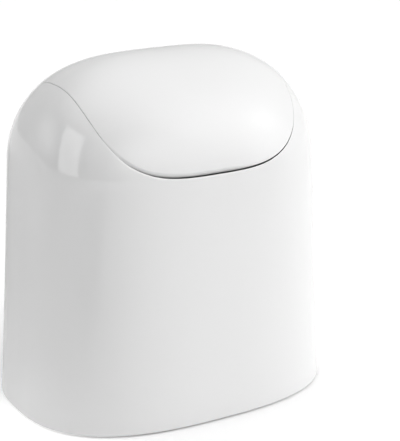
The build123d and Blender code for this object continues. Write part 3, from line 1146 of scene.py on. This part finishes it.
@dataclass
class SwingLid:
    """The lid's skin with its rolled lip, the ribs and cheeks under it, and what they carry.

    A fill is how much of the seam's gap the lid's edge takes up: side_fill beside the cheeks,
    plain_fill where the gap is open and has no lip, and lip_fill under the lip, less lip_gap
    where the gap is open. On the right, right_fill closes it further up to right_starts_at,
    and right_corner_gap has opened it again by right_full_at, both distances |y|.
    """

    form: CanForm
    lip_height: float = 2.1 * MM
    lip_tuck: float = 1.75 * MM
    lip_round: float = 0.4 * MM
    lip_steps: int = 6
    lip_round_below: float = 0.35 * MM
    lip_steps_below: int = 5
    side_lip: float = 0.2 * MM
    side_round: float = 0.1 * MM
    side_fill: float = 0.18 * MM
    side_shift: float = 0.07 * MM
    right_fill: float = 0.06 * MM
    right_corner_gap: float = 0.04 * MM
    right_starts_at: float = 40.0 * MM
    right_full_at: float = 47.5 * MM
    plain_fill: float = 0.12 * MM
    lip_fill: float = 0.67 * MM
    lip_gap: float = 0.29 * MM
    inner_round: float = 0.3 * MM
    inner_steps: int = 4
    square_cut_starts_at: float = 42.0 * MM
    square_cut_full_at: float = 50.0 * MM
    skin_rows: int = 92
    under_rows: int = 48
    core_height: float = 96.0 * MM
    rib_thickness: float = 1.6 * MM
    rib_depth: float = 4.0 * MM
    rib_points: int = 49
    cross_ribs: tuple[float, ...] = (-24.0 * MM, 0.0, 24.0 * MM)
    cross_rib_reach: float = 49.15 * MM
    long_ribs: tuple[float, ...] = (-22.0 * MM, 22.0 * MM)
    long_rib_reach: float = 46.7 * MM
    edge_soft: float = 0.25 * MM
    pin_head: float = 1.4 * MM
    cheek_thickness: float = 2.4 * MM
    cheek_half_width: float = 8.5 * MM
    cheek_top_points: int = 31
    foot_rounds: tuple[float, ...] = (1.2 * MM, 1.2 * MM, 1.6 * MM)
    gusset_half_width: float = 22.0 * MM
    gusset_rise: float = 3.0 * MM
    gusset_edge: float = 6.0 * MM
    gusset_rounds: tuple[float, ...] = (2.0 * MM, 2.5 * MM)
    hub_radius: float = 9.0 * MM
    hub_points: int = 13
    pocket_wall: float = 1.6 * MM
    pocket_fit: float = 0.05 * MM
    pocket_soft: float = 0.35 * MM
    pocket_corner: float = 0.5 * MM
    pocket_sides: int = 64
    lug_drop: float = 11.0 * MM
    lug_radius: float = 1.6 * MM
    lug_end: float = 0.4 * MM
    lug_soft: float = 0.4 * MM
    lug_sides: int = 40

    def build(self) -> None:
        """Makes the lid and dresses the pieces that ride with it."""
        self.make_skin()
        self.make_ribs()
        for side, sign in (("left", -1), ("right", 1)):
            self.make_cheek(side, sign)
            self.make_pocket(side, sign)
            self.make_lug(side, sign)
            Mould.dress(f"pivot_pin_{side}", Finish.STEEL)
            Mould.dress(f"lid_weight_{side}", Finish.STEEL)
            Mould.dress(f"stop_sleeve_{side}", Finish.SILICONE)

    def edge_growth(self) -> np.ndarray:
        """How much further out than the nominal seam the lid's edge lies, for each column.

        Beside the cheeks the edge closes the gap to a fine line, finer still on the right;
        at front and rear it leaves the gap open, and the rolled lip reaches out over it.

        Returns:
            One length for each column.
        """
        form = self.form
        open_share = form.gap_share()
        plain = mixed(self.side_fill, self.plain_fill, open_share)
        fill = mixed(plain, self.lip_fill - self.lip_gap * open_share, form.lip_share())
        corner = form.toward_lip(self.right_starts_at, self.right_full_at)
        closed = mixed(self.right_fill, -self.right_corner_gap, corner)
        shift = self.side_shift * form.across + np.where(form.across > 0, closed, 0)
        return fill + shift * (1 - open_share) - form.seam_gap / 2

    def dome_face(self, edge: np.ndarray, inset: float, rows: int) -> np.ndarray:
        """Rows from near the crown to the seam.

        Every column is an arc from the zenith to the seam point, seen from a core point:
        way = (sin((1 - w) angle) up + sin(w angle) edge) / sin(angle), cut with the form.

        Args:
            edge: points on the seam, shape (columns, 3).
            inset: how far the face lies inside the outer form.
            rows: number of rows.

        Returns:
            Points, shape (rows, columns, 3).
        """
        up = np.array([0.0, 0.0, 1.0])
        core = self.core_height * up
        way = unit(edge - core)
        angle = np.arccos(np.clip(way @ up, -1, 1))[None, :, None]
        share = np.linspace(0, 1, rows + 1)[1:, None, None]
        ways = (np.sin((1 - share) * angle) * up + np.sin(share * angle) * way) / np.sin(angle)
        return self.form.along_ray(core, ways, inset)

    def make_skin(self) -> None:
        """Dome face, rolled lip, cut face and underside as one closed skin.

        The edge is cut square to the skin at front and rear, and along the wedge beside the
        cheeks; a smooth step of the distance from the middle blends the two.
        """
        form = self.form
        cut_share = form.toward_lip(self.square_cut_starts_at, self.square_cut_full_at)[:, None]
        share = form.lip_share()[:, None]
        grow = self.edge_growth()
        outer_corner = form.ring(form.seam_height(0.0, grow), 0.0)
        slanted = form.ring(form.seam_height(form.wall, grow), form.wall)
        square = outer_corner - form.wall * form.outward(outer_corner)
        inner_corner = mixed(slanted, square, cut_share)
        high = mixed(self.side_lip, self.lip_height, share)
        tuck = mixed(self.side_lip, self.lip_tuck, share)
        soft = mixed(self.side_round, self.lip_round, share)
        soft_below = mixed(self.side_round, self.lip_round_below, share)
        dome = self.dome_face(outer_corner, 0.0, self.skin_rows)
        under = self.dome_face(inner_corner, form.wall, self.under_rows)
        shown = form.pulled_back(dome, high + soft)
        lip_top = form.pulled_back(dome, high)[-1]
        lip_foot = step_toward(outer_corner, inner_corner, tuck)
        lip_start = step_toward(lip_top, lip_foot, soft)
        lip_end = step_toward(lip_foot, lip_top, soft_below)
        cut_start = step_toward(lip_foot, inner_corner, soft_below)
        cut_end = step_toward(inner_corner, outer_corner, self.inner_round)
        rows = np.concatenate([
            shown,
            corner_curve(shown[-1], lip_top, lip_start, self.lip_steps)[1:],
            corner_curve(lip_end, lip_foot, cut_start, self.lip_steps_below),
            corner_curve(cut_end, inner_corner, under[-2], self.inner_steps),
            under[:-2][::-1],
        ])
        crown = form.crown_height
        lid = Mould.skin("lid_skin", rows, (0, 0, crown), (0, 0, crown - form.wall))
        Mould.ride(lid, "lid", Finish.SHELL, "swing_lid")

    def make_ribs(self) -> None:
        """Ribs under the skin: strips whose lower edge runs rib_depth below the inner wall."""
        form = self.form
        half, floor, roof = self.rib_thickness / 2, form.wall + self.rib_depth, form.wall / 2
        runs = [("cross", y, self.cross_rib_reach) for y in self.cross_ribs]
        runs += [("long", x, self.long_rib_reach) for x in self.long_ribs]
        for number, (kind, place, reach) in enumerate(runs):
            along = np.linspace(-reach, reach, self.rib_points)
            rings = []
            for offset, inset in ((-half, floor), (half, floor), (half, roof), (-half, roof)):
                across = np.full(along.shape, place + offset)
                x, y = (along, across) if kind == "cross" else (across, along)
                rings.append(np.stack([x, y, form.under_skin(x, y, inset)], -1))
            rib = Mould.bar(f"lid_{kind}_rib_{number + 1}", np.stack(rings, 1), self.edge_soft)
            Mould.ride(rib, "lid", Finish.SHELL)

    def pivot(self) -> float:
        """Height of the swing axis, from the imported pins."""
        low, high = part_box("pivot_pin_right")
        return (low.z + high.z) / 2

    def cheek_inner(self) -> float:
        """Inner face of the right cheek: the pin's head rests on it."""
        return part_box("pivot_pin_right")[0].x + self.pin_head

    def make_cheek(self, side: str, sign: int) -> None:
        """Plate with a gusset up to the skin, a hub at the pivot and a bar down to the weight.

        Its outline is a half width for each height, mirrored front to rear: the pocket's, the
        bar's, the hub's circle, then the gusset's up to the skin.

        Args:
            side: "left" or "right".
            sign: -1 on the left, 1 on the right.
        """
        low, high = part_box(f"lid_weight_{side}")
        pivot, middle = self.pivot(), (low.z + high.z) / 2
        wall = self.pocket_wall + self.pocket_fit
        half_pocket, half_height = (high.y - low.y) / 2 + wall, (high.z - low.z) / 2 + wall
        meet = math.asin(self.cheek_half_width / self.hub_radius)
        leave = math.acos(self.gusset_rise / self.hub_radius)
        turn = np.linspace(math.pi - meet, leave, self.hub_points)
        hub = np.stack([np.sin(turn), np.cos(turn)], -1) * self.hub_radius + [0.0, pivot]
        sides = np.array([
            [0.0, middle - half_height],
            [half_pocket, middle - half_height],
            [half_pocket, middle + half_height],
            [self.cheek_half_width, middle + half_height],
        ])
        gusset = np.array([
            [self.gusset_half_width, pivot + self.gusset_rise],
            [self.gusset_half_width, pivot + self.gusset_rise + self.gusset_edge],
        ])
        lower = softened(np.concatenate([sides, hub[:1]]), self.foot_rounds)
        upper = softened(np.concatenate([hub[-2:], gusset]), self.gusset_rounds)
        half = np.concatenate([lower[1:-1], hub[:-1], upper[1:-1]])
        skin_y = np.linspace(self.gusset_half_width, -self.gusset_half_width, self.cheek_top_points)
        rings = []
        for x in (self.cheek_inner(), self.cheek_inner() + self.cheek_thickness):
            skin_z = self.form.under_skin(np.full(skin_y.shape, x), skin_y, self.form.wall / 2)
            top = np.stack([skin_y, skin_z], -1)
            outline = np.concatenate([half, top, half[::-1] * [-1, 1]])
            rings.append(np.insert(outline, 0, sign * x, axis=1))
        cheek = Mould.bar(f"lid_cheek_{side}", np.stack(rings), self.edge_soft)
        Mould.ride(cheek, "lid", Finish.SHELL)

    def make_pocket(self, side: str, sign: int) -> None:
        """Four-walled pocket round the weight, open towards the middle of the can.

        A rounded rectangle is carried along a closed profile: up the outside, over the rim,
        down the inside and back along the foot.

        Args:
            side: "left" or "right".
            sign: -1 on the left, 1 on the right.
        """
        low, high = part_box(f"lid_weight_{side}")
        middle_y, middle_z = (low.y + high.y) / 2, (low.z + high.z) / 2
        straight_y = (high.y - low.y) / 2 + self.pocket_fit - self.pocket_corner
        straight_z = (high.z - low.z) / 2 + self.pocket_fit - self.pocket_corner
        depth = (high.x - low.x) + self.pocket_fit
        out, soft, dip = self.pocket_wall, self.pocket_soft, ROUND_DIP * self.pocket_soft
        profile = np.array([
            [out, 0.0], [out, depth - soft], [out - dip, depth - dip], [out - soft, depth],
            [soft, depth], [dip, depth - dip], [0.0, depth - soft], [0.0, 0.0],
        ])
        turn = (np.arange(self.pocket_sides) + 0.5) * 2 * math.pi / self.pocket_sides
        corner_y, corner_z = np.sign(np.cos(turn)), np.sign(np.sin(turn))
        spread = profile[:, :1] + self.pocket_corner
        y = middle_y + corner_y * straight_y + np.cos(turn) * spread
        z = middle_z + corner_z * straight_z + np.sin(turn) * spread
        x = sign * (self.cheek_inner() - np.repeat(profile[:, 1:], self.pocket_sides, axis=1))
        rows = np.stack([x, y, z], -1)
        pocket = Mould.skin(f"weight_pocket_{side}", rows, closed_rows=True, crisp=True)
        Mould.ride(pocket, "lid", Finish.SHELL)

    def make_lug(self, side: str, sign: int) -> None:
        """Round lug that carries the stop sleeve: a profile turned about its own axis.

        Args:
            side: "left" or "right".
            sign: -1 on the left, 1 on the right.
        """
        low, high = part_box(f"stop_sleeve_{side}")
        end = max(abs(low.x), abs(high.x)) + self.lug_end
        foot = self.cheek_inner() + self.cheek_thickness / 2
        radius, soft, dip = self.lug_radius, self.lug_soft, ROUND_DIP * self.lug_soft
        profile = np.array([
            [radius, foot], [radius, end - soft], [radius - dip, end - dip], [radius - soft, end],
        ])
        across, up, along = turned(profile, self.lug_sides)
        middle = self.pivot() - self.lug_drop
        rows = np.stack([sign * along, across, middle + up], -1)
        lug = Mould.skin(
            f"stop_lug_{side}", rows, (sign * foot, 0, middle), (sign * end, 0, middle), crisp=True
        )
        Mould.ride(lug, "lid", Finish.SHELL)


@dataclass
class TubForm:
    """Rings of a superellipse |x / half_x|^n + |y / half_y|^n = 1, for all that stands inside."""

    roundness: float = 2.65
    columns: int = 288
    floor_shares: tuple[float, ...] = (0.92, 0.75, 0.55, 0.35, 0.15)
    corner_steps: int = 6
    ring: np.ndarray = field(init=False)

    def __post_init__(self) -> None:
        """Works out the ring of size 1."""
        self.ring = superellipse(self.roundness, self.columns)

    def rows(self, base: tuple[float, float], profile: np.ndarray) -> np.ndarray:
        """Rings for a profile of (offset from the base halves, height).

        Args:
            base: half width and half depth that offsets count from.
            profile: points, shape (count, 2).

        Returns:
            Points, shape (count, columns, 3).
        """
        halves = np.asarray(base)[None] + profile[:, :1]
        flat = self.ring[None] * halves[:, None, :]
        heights = np.broadcast_to(profile[:, 1][:, None, None], (*flat.shape[:2], 1))
        return np.concatenate([flat, heights], -1)

    def floor(self, base: tuple[float, float], offset: float, height: float) -> np.ndarray:
        """Rings that shrink evenly to the middle of a floor.

        Args:
            base: half width and half depth that the offset counts from.
            offset: where the floor's edge is.
            height: the floor's height.

        Returns:
            Points, shape (count, columns, 3).
        """
        edge = self.ring * (np.asarray(base) + offset)
        flat = np.array(self.floor_shares)[:, None, None] * edge[None]
        return np.concatenate([flat, np.full((*flat.shape[:2], 1), height)], -1)

    def cup(self, name: str, base: tuple[float, float], profile: np.ndarray) -> bpy.types.Object:
        """Makes a closed cup from a profile that runs from its underside round to its floor.

        Args:
            name: the piece's name.
            base: half width and half depth that offsets count from.
            profile: points (offset, height), shape (count, 2).

        Returns:
            The new object.
        """
        (sole_edge, sole), (floor_edge, floor) = profile[0], profile[-1]
        rows = np.concatenate([
            self.floor(base, sole_edge, sole)[::-1],
            self.rows(base, profile),
            self.floor(base, floor_edge, floor),
        ])
        return Mould.skin(name, rows, (0, 0, sole), (0, 0, floor))


@dataclass
class LinerBucket:
    """The lift-out bucket with its flanged rim."""

    tub: TubForm
    wall: float = 1.8 * MM
    base_thickness: float = 2.0 * MM
    base_edge: float = 12.0 * MM
    flange: float = 3.0 * MM
    flange_thickness: float = 1.8 * MM
    draft: float = math.radians(2.5)
    foot_round: float = 3.2 * MM
    under_flange_round: float = 0.8 * MM
    rim_round: float = 0.75 * MM
    mouth_round: float = 0.7 * MM
    floor_round: float = 2.4 * MM
    corner_steps: int = 7
    row_spacing: float = 6.0 * MM

    def build(self) -> None:
        """One profile: out along the base, up the wall, over the rim, back down inside."""
        low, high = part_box("inner_bucket")
        rim = (high.x - self.flange, high.y - self.flange)
        top, bottom = high.z, low.z
        floor = bottom + self.base_thickness
        slope = math.tan(self.draft)
        taper = (top - bottom) * slope
        inner = -(top - floor) * slope - self.wall
        under_flange = top - self.flange_thickness
        profile = np.array([
            [-taper - self.base_edge, bottom],
            [-taper, bottom],
            [-self.flange_thickness * slope, under_flange],
            [self.flange, under_flange],
            [self.flange, top],
            [-self.wall, top],
            [inner, floor],
            [inner - self.base_edge, floor],
        ])
        radii = (
            self.foot_round, self.under_flange_round, self.rim_round, self.rim_round,
            self.mouth_round, self.floor_round,
        )
        profile = self.filled(softened(profile, radii, self.corner_steps))
        bucket = self.tub.cup("bucket_skin", rim, profile)
        Mould.ride(bucket, "bucket", Finish.BUCKET, "inner_bucket")

    def filled(self, profile: np.ndarray) -> np.ndarray:
        """Adds evenly spaced points to a profile's long straight runs.

        Args:
            profile: points, shape (count, 2).

        Returns:
            Points, shape (more, 2).
        """
        parts = [profile[:1]]
        for start, end in zip(profile[:-1], profile[1:]):
            count = max(1, int(np.linalg.norm(end - start) / self.row_spacing))
            parts.append(mixed(start, end, np.linspace(0, 1, count + 1)[1:, None]))
        return np.concatenate(parts)


@dataclass
class BagRing:
    """The ring that traps a bag's hem over the bucket's rim."""

    tub: TubForm
    wall: float = 1.8 * MM
    reach_in: float = 5.8 * MM
    slide: float = 0.5 * MM
    top_round: float = 0.7 * MM
    edge_round: float = 0.4 * MM

    def build(self) -> None:
        """Makes the ring from a closed profile: an L of a skirt and a flat top."""
        low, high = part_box("bag_ring")
        out = self.slide + self.wall
        start = [out, (low.z + high.z) / 2]
        corners = np.array([
            start,
            [out, high.z],
            [-self.reach_in, high.z],
            [-self.reach_in, high.z - self.wall],
            [self.slide, high.z - self.wall],
            [self.slide, low.z],
            [out, low.z],
            start,
        ])
        radii = (self.top_round,) * 2 + (self.edge_round,) * 4
        profile = softened(corners, radii, self.tub.corner_steps)[:-1]
        rows = self.tub.rows((high.x - out, high.y - out), profile)
        ring = Mould.skin("bag_ring_skin", rows, closed_rows=True)
        Mould.ride(ring, "ring", Finish.BUCKET, "bag_ring")


@dataclass
class BaseTray:
    """The tray that bucket and shell stand on, with its rim for the bucket, and its feet."""

    tub: TubForm
    wall: float = 2.0 * MM
    base_thickness: float = 2.6 * MM
    base_edge: float = 10.0 * MM
    rim_height: float = 3.0 * MM
    slide: float = 0.5 * MM
    bucket_draft: float = math.radians(2.5)
    bucket_flange: float = 3.0 * MM
    corner_round: float = 1.2 * MM
    wall_round: float = 0.6 * MM
    rim_round: float = 0.5 * MM
    groove_depth: float = 0.25 * MM
    foot_sides: int = 64

    def build(self) -> None:
        """Makes the tray, the rim inside it and the feet."""
        self.make_tray()
        for place in ("front_left", "front_right", "rear_left", "rear_right"):
            self.make_foot(place)

    def make_tray(self) -> None:
        """One profile: along the base, over the wall, along the floor, over the rim, inward."""
        low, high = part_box("base_tray")
        bucket_low, bucket_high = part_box("inner_bucket")
        taper = (bucket_high.z - bucket_low.z) * math.tan(self.bucket_draft)
        floor = low.z + self.base_thickness
        rim_top = floor + self.rim_height
        rim_in = bucket_high.x - self.bucket_flange - taper + self.slide - high.x
        rim_out = rim_in + self.wall
        profile = np.array([
            [rim_in - self.base_edge, low.z],
            [0.0, low.z],
            [0.0, high.z],
            [-self.wall, high.z],
            [-self.wall, floor],
            [rim_out, floor],
            [rim_out, rim_top],
            [rim_in, rim_top],
            [rim_in, floor],
            [rim_in - self.base_edge, floor],
        ])
        walls = (self.corner_round, self.wall_round, self.wall_round, self.corner_round)
        profile = softened(profile, walls + (self.rim_round,) * 4, self.tub.corner_steps)
        tray = self.tub.cup("tray_skin", (high.x, high.y), profile)
        Mould.ride(tray, "base", Finish.TRAY, "base_tray")

    def make_foot(self, place: str) -> None:
        """A round pad turned from a profile with two shallow grip grooves in its sole.

        The profile's marks are (share of the pad's radius, height), from the middle outwards.

        Args:
            place: which corner it stands at.
        """
        low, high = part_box(f"foot_{place}")
        x, y = (low.x + high.x) / 2, (low.y + high.y) / 2
        radius, dip = (high.x - low.x) / 2, self.groove_depth
        marks = np.array([
            [0.10, 0.0], [0.22, 0.0], [0.26, dip], [0.34, dip], [0.38, 0.0], [0.52, 0.0],
            [0.56, dip], [0.64, dip], [0.68, 0.0], [0.90, 0.0], [0.96, 0.10 * MM],
            [0.99, 0.28 * MM], [1.0, 0.55 * MM], [1.0, high.z],
        ])
        across, deep, height = turned(marks * [radius, 1.0], self.foot_sides)
        rows = np.stack([x + across, y + deep, height], -1)
        foot = Mould.skin(f"foot_pad_{place}", rows, (x, y, 0), (x, y, high.z), crisp=True)
        Mould.ride(foot, "base", Finish.SILICONE, f"foot_{place}")


# ---------------------------------------------------------------------------
# Counter, light and camera
# ---------------------------------------------------------------------------

@dataclass(frozen=True)
class SoftArea:
    """A soft bright area of the room: where it is in degrees, how narrow, and how strong."""

    azimuth: float
    elevation: float
    focus: float
    strength: float

    def seen(self, board: NodeBoard, direction: Signal) -> Signal:
        """Its light from a direction d: strength * max(0, d . middle)^focus.

        Args:
            board: the world's node tree.
            direction: the direction d.

        Returns:
            The light, as a strength of the world.
        """
        middle = facing(math.radians(self.azimuth), math.radians(self.elevation))
        sockets = {0: direction, 1: middle}
        nearness = board.node(
            "ShaderNodeVectorMath", {"operation": "DOT_PRODUCT"}, sockets, "Value"
        )
        return nearness.clamped(0.0, 1.0) ** self.focus * self.strength


@dataclass(frozen=True)
class Card:
    """A rectangular light card that shows in the gloss and lights nothing."""

    name: str
    centre: Point
    along: Point
    up: Point
    width: float
    height: float
    radiance: float

    def make(self) -> None:
        """Makes the area light. Its power is radiance * pi * width * height."""
        data = bpy.data.lights.new(self.name, "AREA")
        data.shape = "RECTANGLE"
        data.size, data.size_y = self.width, self.height
        data.energy = self.radiance * math.pi * self.width * self.height
        light = linked(self.name, data)
        across = unit(np.array(self.along))
        normal = unit(np.cross(across, self.up))
        light.matrix_world = aimed(across, np.cross(normal, across), normal, self.centre)
        light.visible_diffuse = False
        light.visible_camera = False


def on_counter(*places: tuple[float, float]) -> tuple[Point, ...]:
    """Corners of a patch that lies just above the counter, from its places in plan."""
    return tuple((x, y, PATCH_LIFT) for x, y in places)


def upright(
    start: tuple[float, float], end: tuple[float, float], low: float, high: float
) -> tuple[Point, ...]:
    """Corners of a patch that stands upright between two places in plan."""
    return ((*start, low), (*start, high), (*end, high), (*end, low))


@dataclass(frozen=True)
class GlossPatch:
    """A patch that shows in the gloss only: a dark one is painted shade in the can's reflections, a
    glowing one a painted bright reflection.

    Its corners go round it: both ends of the first edge, then both ends of the opposite one.
    With u from the first edge to the opposite one and v along them, both 0 to 1, and ease as
    the smooth step, it covers strength * ease(u / ridge) * (1 - ease((u - ridge) / (1 - ridge)))
    * ease(v / end_fade) * ease((1 - v) / end_fade). With ridge 0 the first edge is sharp.
    """

    name: str
    corners: tuple[Point, ...]
    strength: float
    glow: float = 0.0
    ridge: float = 0.0
    end_fade: float = 0.3
    steps: int = 32

    def make(self) -> None:
        """Makes the patch as a grid whose cover is stored on its points."""
        u, v = np.meshgrid(*[np.linspace(0, 1, self.steps)] * 2, indexing="ij")
        first, first_end, other_end, other = (np.array(corner) for corner in self.corners)
        along = v[..., None]
        grid = mixed(mixed(first, first_end, along), mixed(other, other_end, along), u[..., None])
        numbers = np.arange(u.size).reshape(u.shape)
        corners = [numbers[:-1, :-1], numbers[:-1, 1:], numbers[1:, 1:], numbers[1:, :-1]]
        quads = np.stack(corners, -1).reshape(-1, 4)
        patch = Mould.piece(self.name, grid.reshape(-1, 3), quads)
        cover = patch.data.attributes.new("cover", "FLOAT", "POINT")
        cover.data.foreach_set("value", self.cover(u, v).ravel().astype(np.float32))
        patch.data.materials.append(self.material())
        # Hidden from all but glossy rays, so the patch only paints dark or bright reflections.
        patch.visible_camera = patch.visible_diffuse = patch.visible_shadow = False
        patch.visible_transmission = patch.visible_volume_scatter = False

    def cover(self, u: np.ndarray, v: np.ndarray) -> np.ndarray:
        """How much of what lies behind it the patch covers, by the formula above.

        Args:
            u: places from the first edge to the opposite one.
            v: places along the edges.

        Returns:
            The cover at each place.
        """
        ends = eased(v, 0, self.end_fade) * eased(1 - v, 0, self.end_fade)
        cover = self.strength * (1 - eased(u, self.ridge, 1)) * ends
        return cover * eased(u, 0, self.ridge) if self.ridge else cover

    def material(self) -> bpy.types.Material:
        """Mixes a clear shader and a glow by the cover: with no glow the patch paints shade into
        reflections, with glow a bright reflection.

        Returns:
            The material.
        """
        material = bpy.data.materials.new(self.name)
        material.use_nodes = True
        board = NodeBoard(material.node_tree)
        share = board.node("ShaderNodeAttribute", {"attribute_name": "cover"}, {}, "Fac")
        clear = board.node("ShaderNodeBsdfTransparent", {}, {})
        light = board.node("ShaderNodeEmission", {}, {"Strength": self.glow})
        blend = board.node("ShaderNodeMixShader", {}, {0: share, 1: clear, 2: light})
        board.node("ShaderNodeOutputMaterial", {}, {"Surface": blend}, None)
        return material


@dataclass
class Studio:
    """Pale counter with a painted pool of light, soft lights, reflections (some of them painted)
    and the camera.

    The camera looks at the middle of the can's height, moved by aim_right and aim_up, which
    are in half widths as its distance is.
    """

    frame_height: int = 441
    azimuth: float = math.radians(-30.719)
    elevation: float = math.radians(18.524)
    roll: float = math.radians(0.444)
    half_width_unit: float = 82.35 * MM
    distance_in_half_widths: float = 9.0
    aim_right: float = 0.235
    aim_up: float = -0.013
    focal_pixels: float = 1467.8
    sensor: float = 36.0
    counter_reach: float = 12.0
    counter_shade: float = 0.9
    counter_roughness: float = 0.9
    counter_gloss: float = 0.1
    counter_glow: float = 0.08
    # Painted pool of light: extra glow on the counter beside the can that fills in the can's
    # shadow.
    painted_light_pool_glow: float = 0.43
    painted_light_pool_centre: Point = (-0.110, -0.020, 0.0)
    painted_light_pool_radius: float = 0.100
    soft_areas: tuple[SoftArea, ...] = (
        SoftArea(0.0, 90.0, 3.0, 1.36),
        SoftArea(104.3, 0.0, 3.0, 0.74),
        SoftArea(-165.7, 0.0, 3.0, 0.60),
        SoftArea(50.0, 5.0, 10.0, 1.54),
        SoftArea(50.0, 35.0, 10.0, 2.51),
        SoftArea(-110.0, 65.0, 10.0, 0.73),
        SoftArea(58.9, 30.4, 220.0, 1.2),
    )
    window: Card = Card(
        "window_card",
        centre=(-0.979, -0.182, 0.511), along=(0.17, -0.985, 0.018), up=(0.366, 0.071, 0.928),
        width=0.57, height=0.8, radiance=2.7,
    )
    # Painted reflections: dark patches paint shade into the can's gloss, glowing ones paint bright
    # reflections.
    painted_reflections: tuple[GlossPatch, ...] = (
        GlossPatch(
            "painted_dark_reflection_left",
            on_counter((-0.121, -0.055), (-0.409, -0.648), (-0.740, -0.230), (-0.220, -0.060)),
            1.0,
        ),
        GlossPatch(
            "painted_dark_reflection_front",
            on_counter((-0.121, -0.055), (-0.409, -0.648), (0.180, -0.720), (0.060, -0.060)),
            0.45,
        ),
        GlossPatch(
            "painted_dark_reflection_behind",
            on_counter((-0.050, 0.000), (-0.020, 0.800), (-0.750, 0.750), (-0.300, 0.000)),
            0.5,
        ),
        GlossPatch(
            "painted_bright_reflection_left", upright((-1.770, -0.002), (-0.774, 1.592), -0.070, 1.310),
            1.0, glow=1.9, ridge=0.5, end_fade=0.5,
        ),
        GlossPatch(
            "painted_bright_reflection_front", upright((-1.090, -1.559), (1.246, -1.437), -0.180, 1.930),
            1.0, glow=2.2, ridge=0.5, end_fade=0.5,
        ),
    )

    def build(self) -> None:
        """Makes camera, world, counter and what only shows in the gloss: the window card and the
        painted reflections.
        """
        bpy.context.scene.view_settings.view_transform = "Standard"
        self.make_camera()
        self.make_world()
        self.make_counter()
        self.window.make()
        for patch in self.painted_reflections:
            patch.make()

    def axes(self) -> tuple[np.ndarray, np.ndarray, np.ndarray]:
        """Camera's directions, rolled about its line of sight.

        Returns:
            Unit vectors to its right, up and back.
        """
        back = np.array(facing(self.azimuth, self.elevation))
        level = np.array([math.cos(self.azimuth), math.sin(self.azimuth), 0.0])
        upright_way = np.cross(back, level)
        right = math.cos(self.roll) * level + math.sin(self.roll) * upright_way
        up = -math.sin(self.roll) * level + math.cos(self.roll) * upright_way
        return right, up, back

    def make_camera(self) -> None:
        """Places the camera round the middle of the can's height."""
        right, up, back = self.axes()
        size = self.half_width_unit
        middle = np.array([0, 0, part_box("swing_lid")[1].z / 2])
        target = middle + size * (self.aim_right * right + self.aim_up * up)
        data = bpy.data.cameras.new("view_camera")
        data.sensor_width = self.sensor
        data.lens = self.focal_pixels * self.sensor / self.frame_height
        camera = linked("view_camera", data)
        eye = target + back * self.distance_in_half_widths * size
        camera.matrix_world = aimed(right, up, back, eye)
        bpy.context.scene.camera = camera

    def make_world(self) -> None:
        """Soft white surroundings: the sum of the room's soft bright areas."""
        world = bpy.data.worlds.new("white_room")
        world.use_nodes = True
        board = NodeBoard(world.node_tree)
        direction = board.node("ShaderNodeTexCoord", {}, {}, "Generated")
        strength = sum(area.seen(board, direction) for area in self.soft_areas)
        white = (1.0, 1.0, 1.0, 1.0)
        sky = board.node("ShaderNodeBackground", {}, {"Color": white, "Strength": strength})
        board.node("ShaderNodeOutputWorld", {}, {"Surface": sky}, None)
        bpy.context.scene.world = world

    def make_counter(self) -> None:
        """Pale counter that glows a little all over, with a painted pool of light beside the can
        that fills in its shadow.

        The glow at distance d from the pool's centre is
        counter_glow + painted_light_pool_glow * max(0, 1 - (d / painted_light_pool_radius)^2)^3.
        """
        ends = (-self.counter_reach, self.counter_reach)
        corners = np.array([[x, y, 0.0] for y in ends for x in ends])
        counter = Mould.piece("floor", corners, np.array([[0, 1, 3, 2]]))
        board = Paint("pale_floor")
        sockets = board.shader.inputs
        sockets["Base Color"].default_value = (*[self.counter_shade] * 3, 1.0)
        sockets["Roughness"].default_value = self.counter_roughness
        sockets["Specular IOR Level"].default_value = self.counter_gloss
        away = board.node(
            "ShaderNodeVectorMath",
            {"operation": "DISTANCE"},
            {0: board.place(), 1: self.painted_light_pool_centre},
            "Value",
        )
        # Painted pool of light beside the can, filling in its shadow on the counter.
        pool = (1.0 - (away * (1 / self.painted_light_pool_radius)) ** 2.0).clamped(0.0, 1.0) ** 3.0
        board.feed(sockets["Emission Color"], pool * self.painted_light_pool_glow + self.counter_glow)
        sockets["Emission Strength"].default_value = 1.0
        counter.data.materials.append(board.material)


def main() -> None:
    """Builds the can's sub-assemblies and the studio, in order."""
    logging.basicConfig(level=logging.INFO, format="%(message)s")
    form = CanForm()
    CoverShell(form).build()
    SwingLid(form).build()
    tub = TubForm()
    LinerBucket(tub).build()
    BagRing(tub).build()
    BaseTray(tub).build()
    Studio().build()


if __name__ == "__main__":
    main()
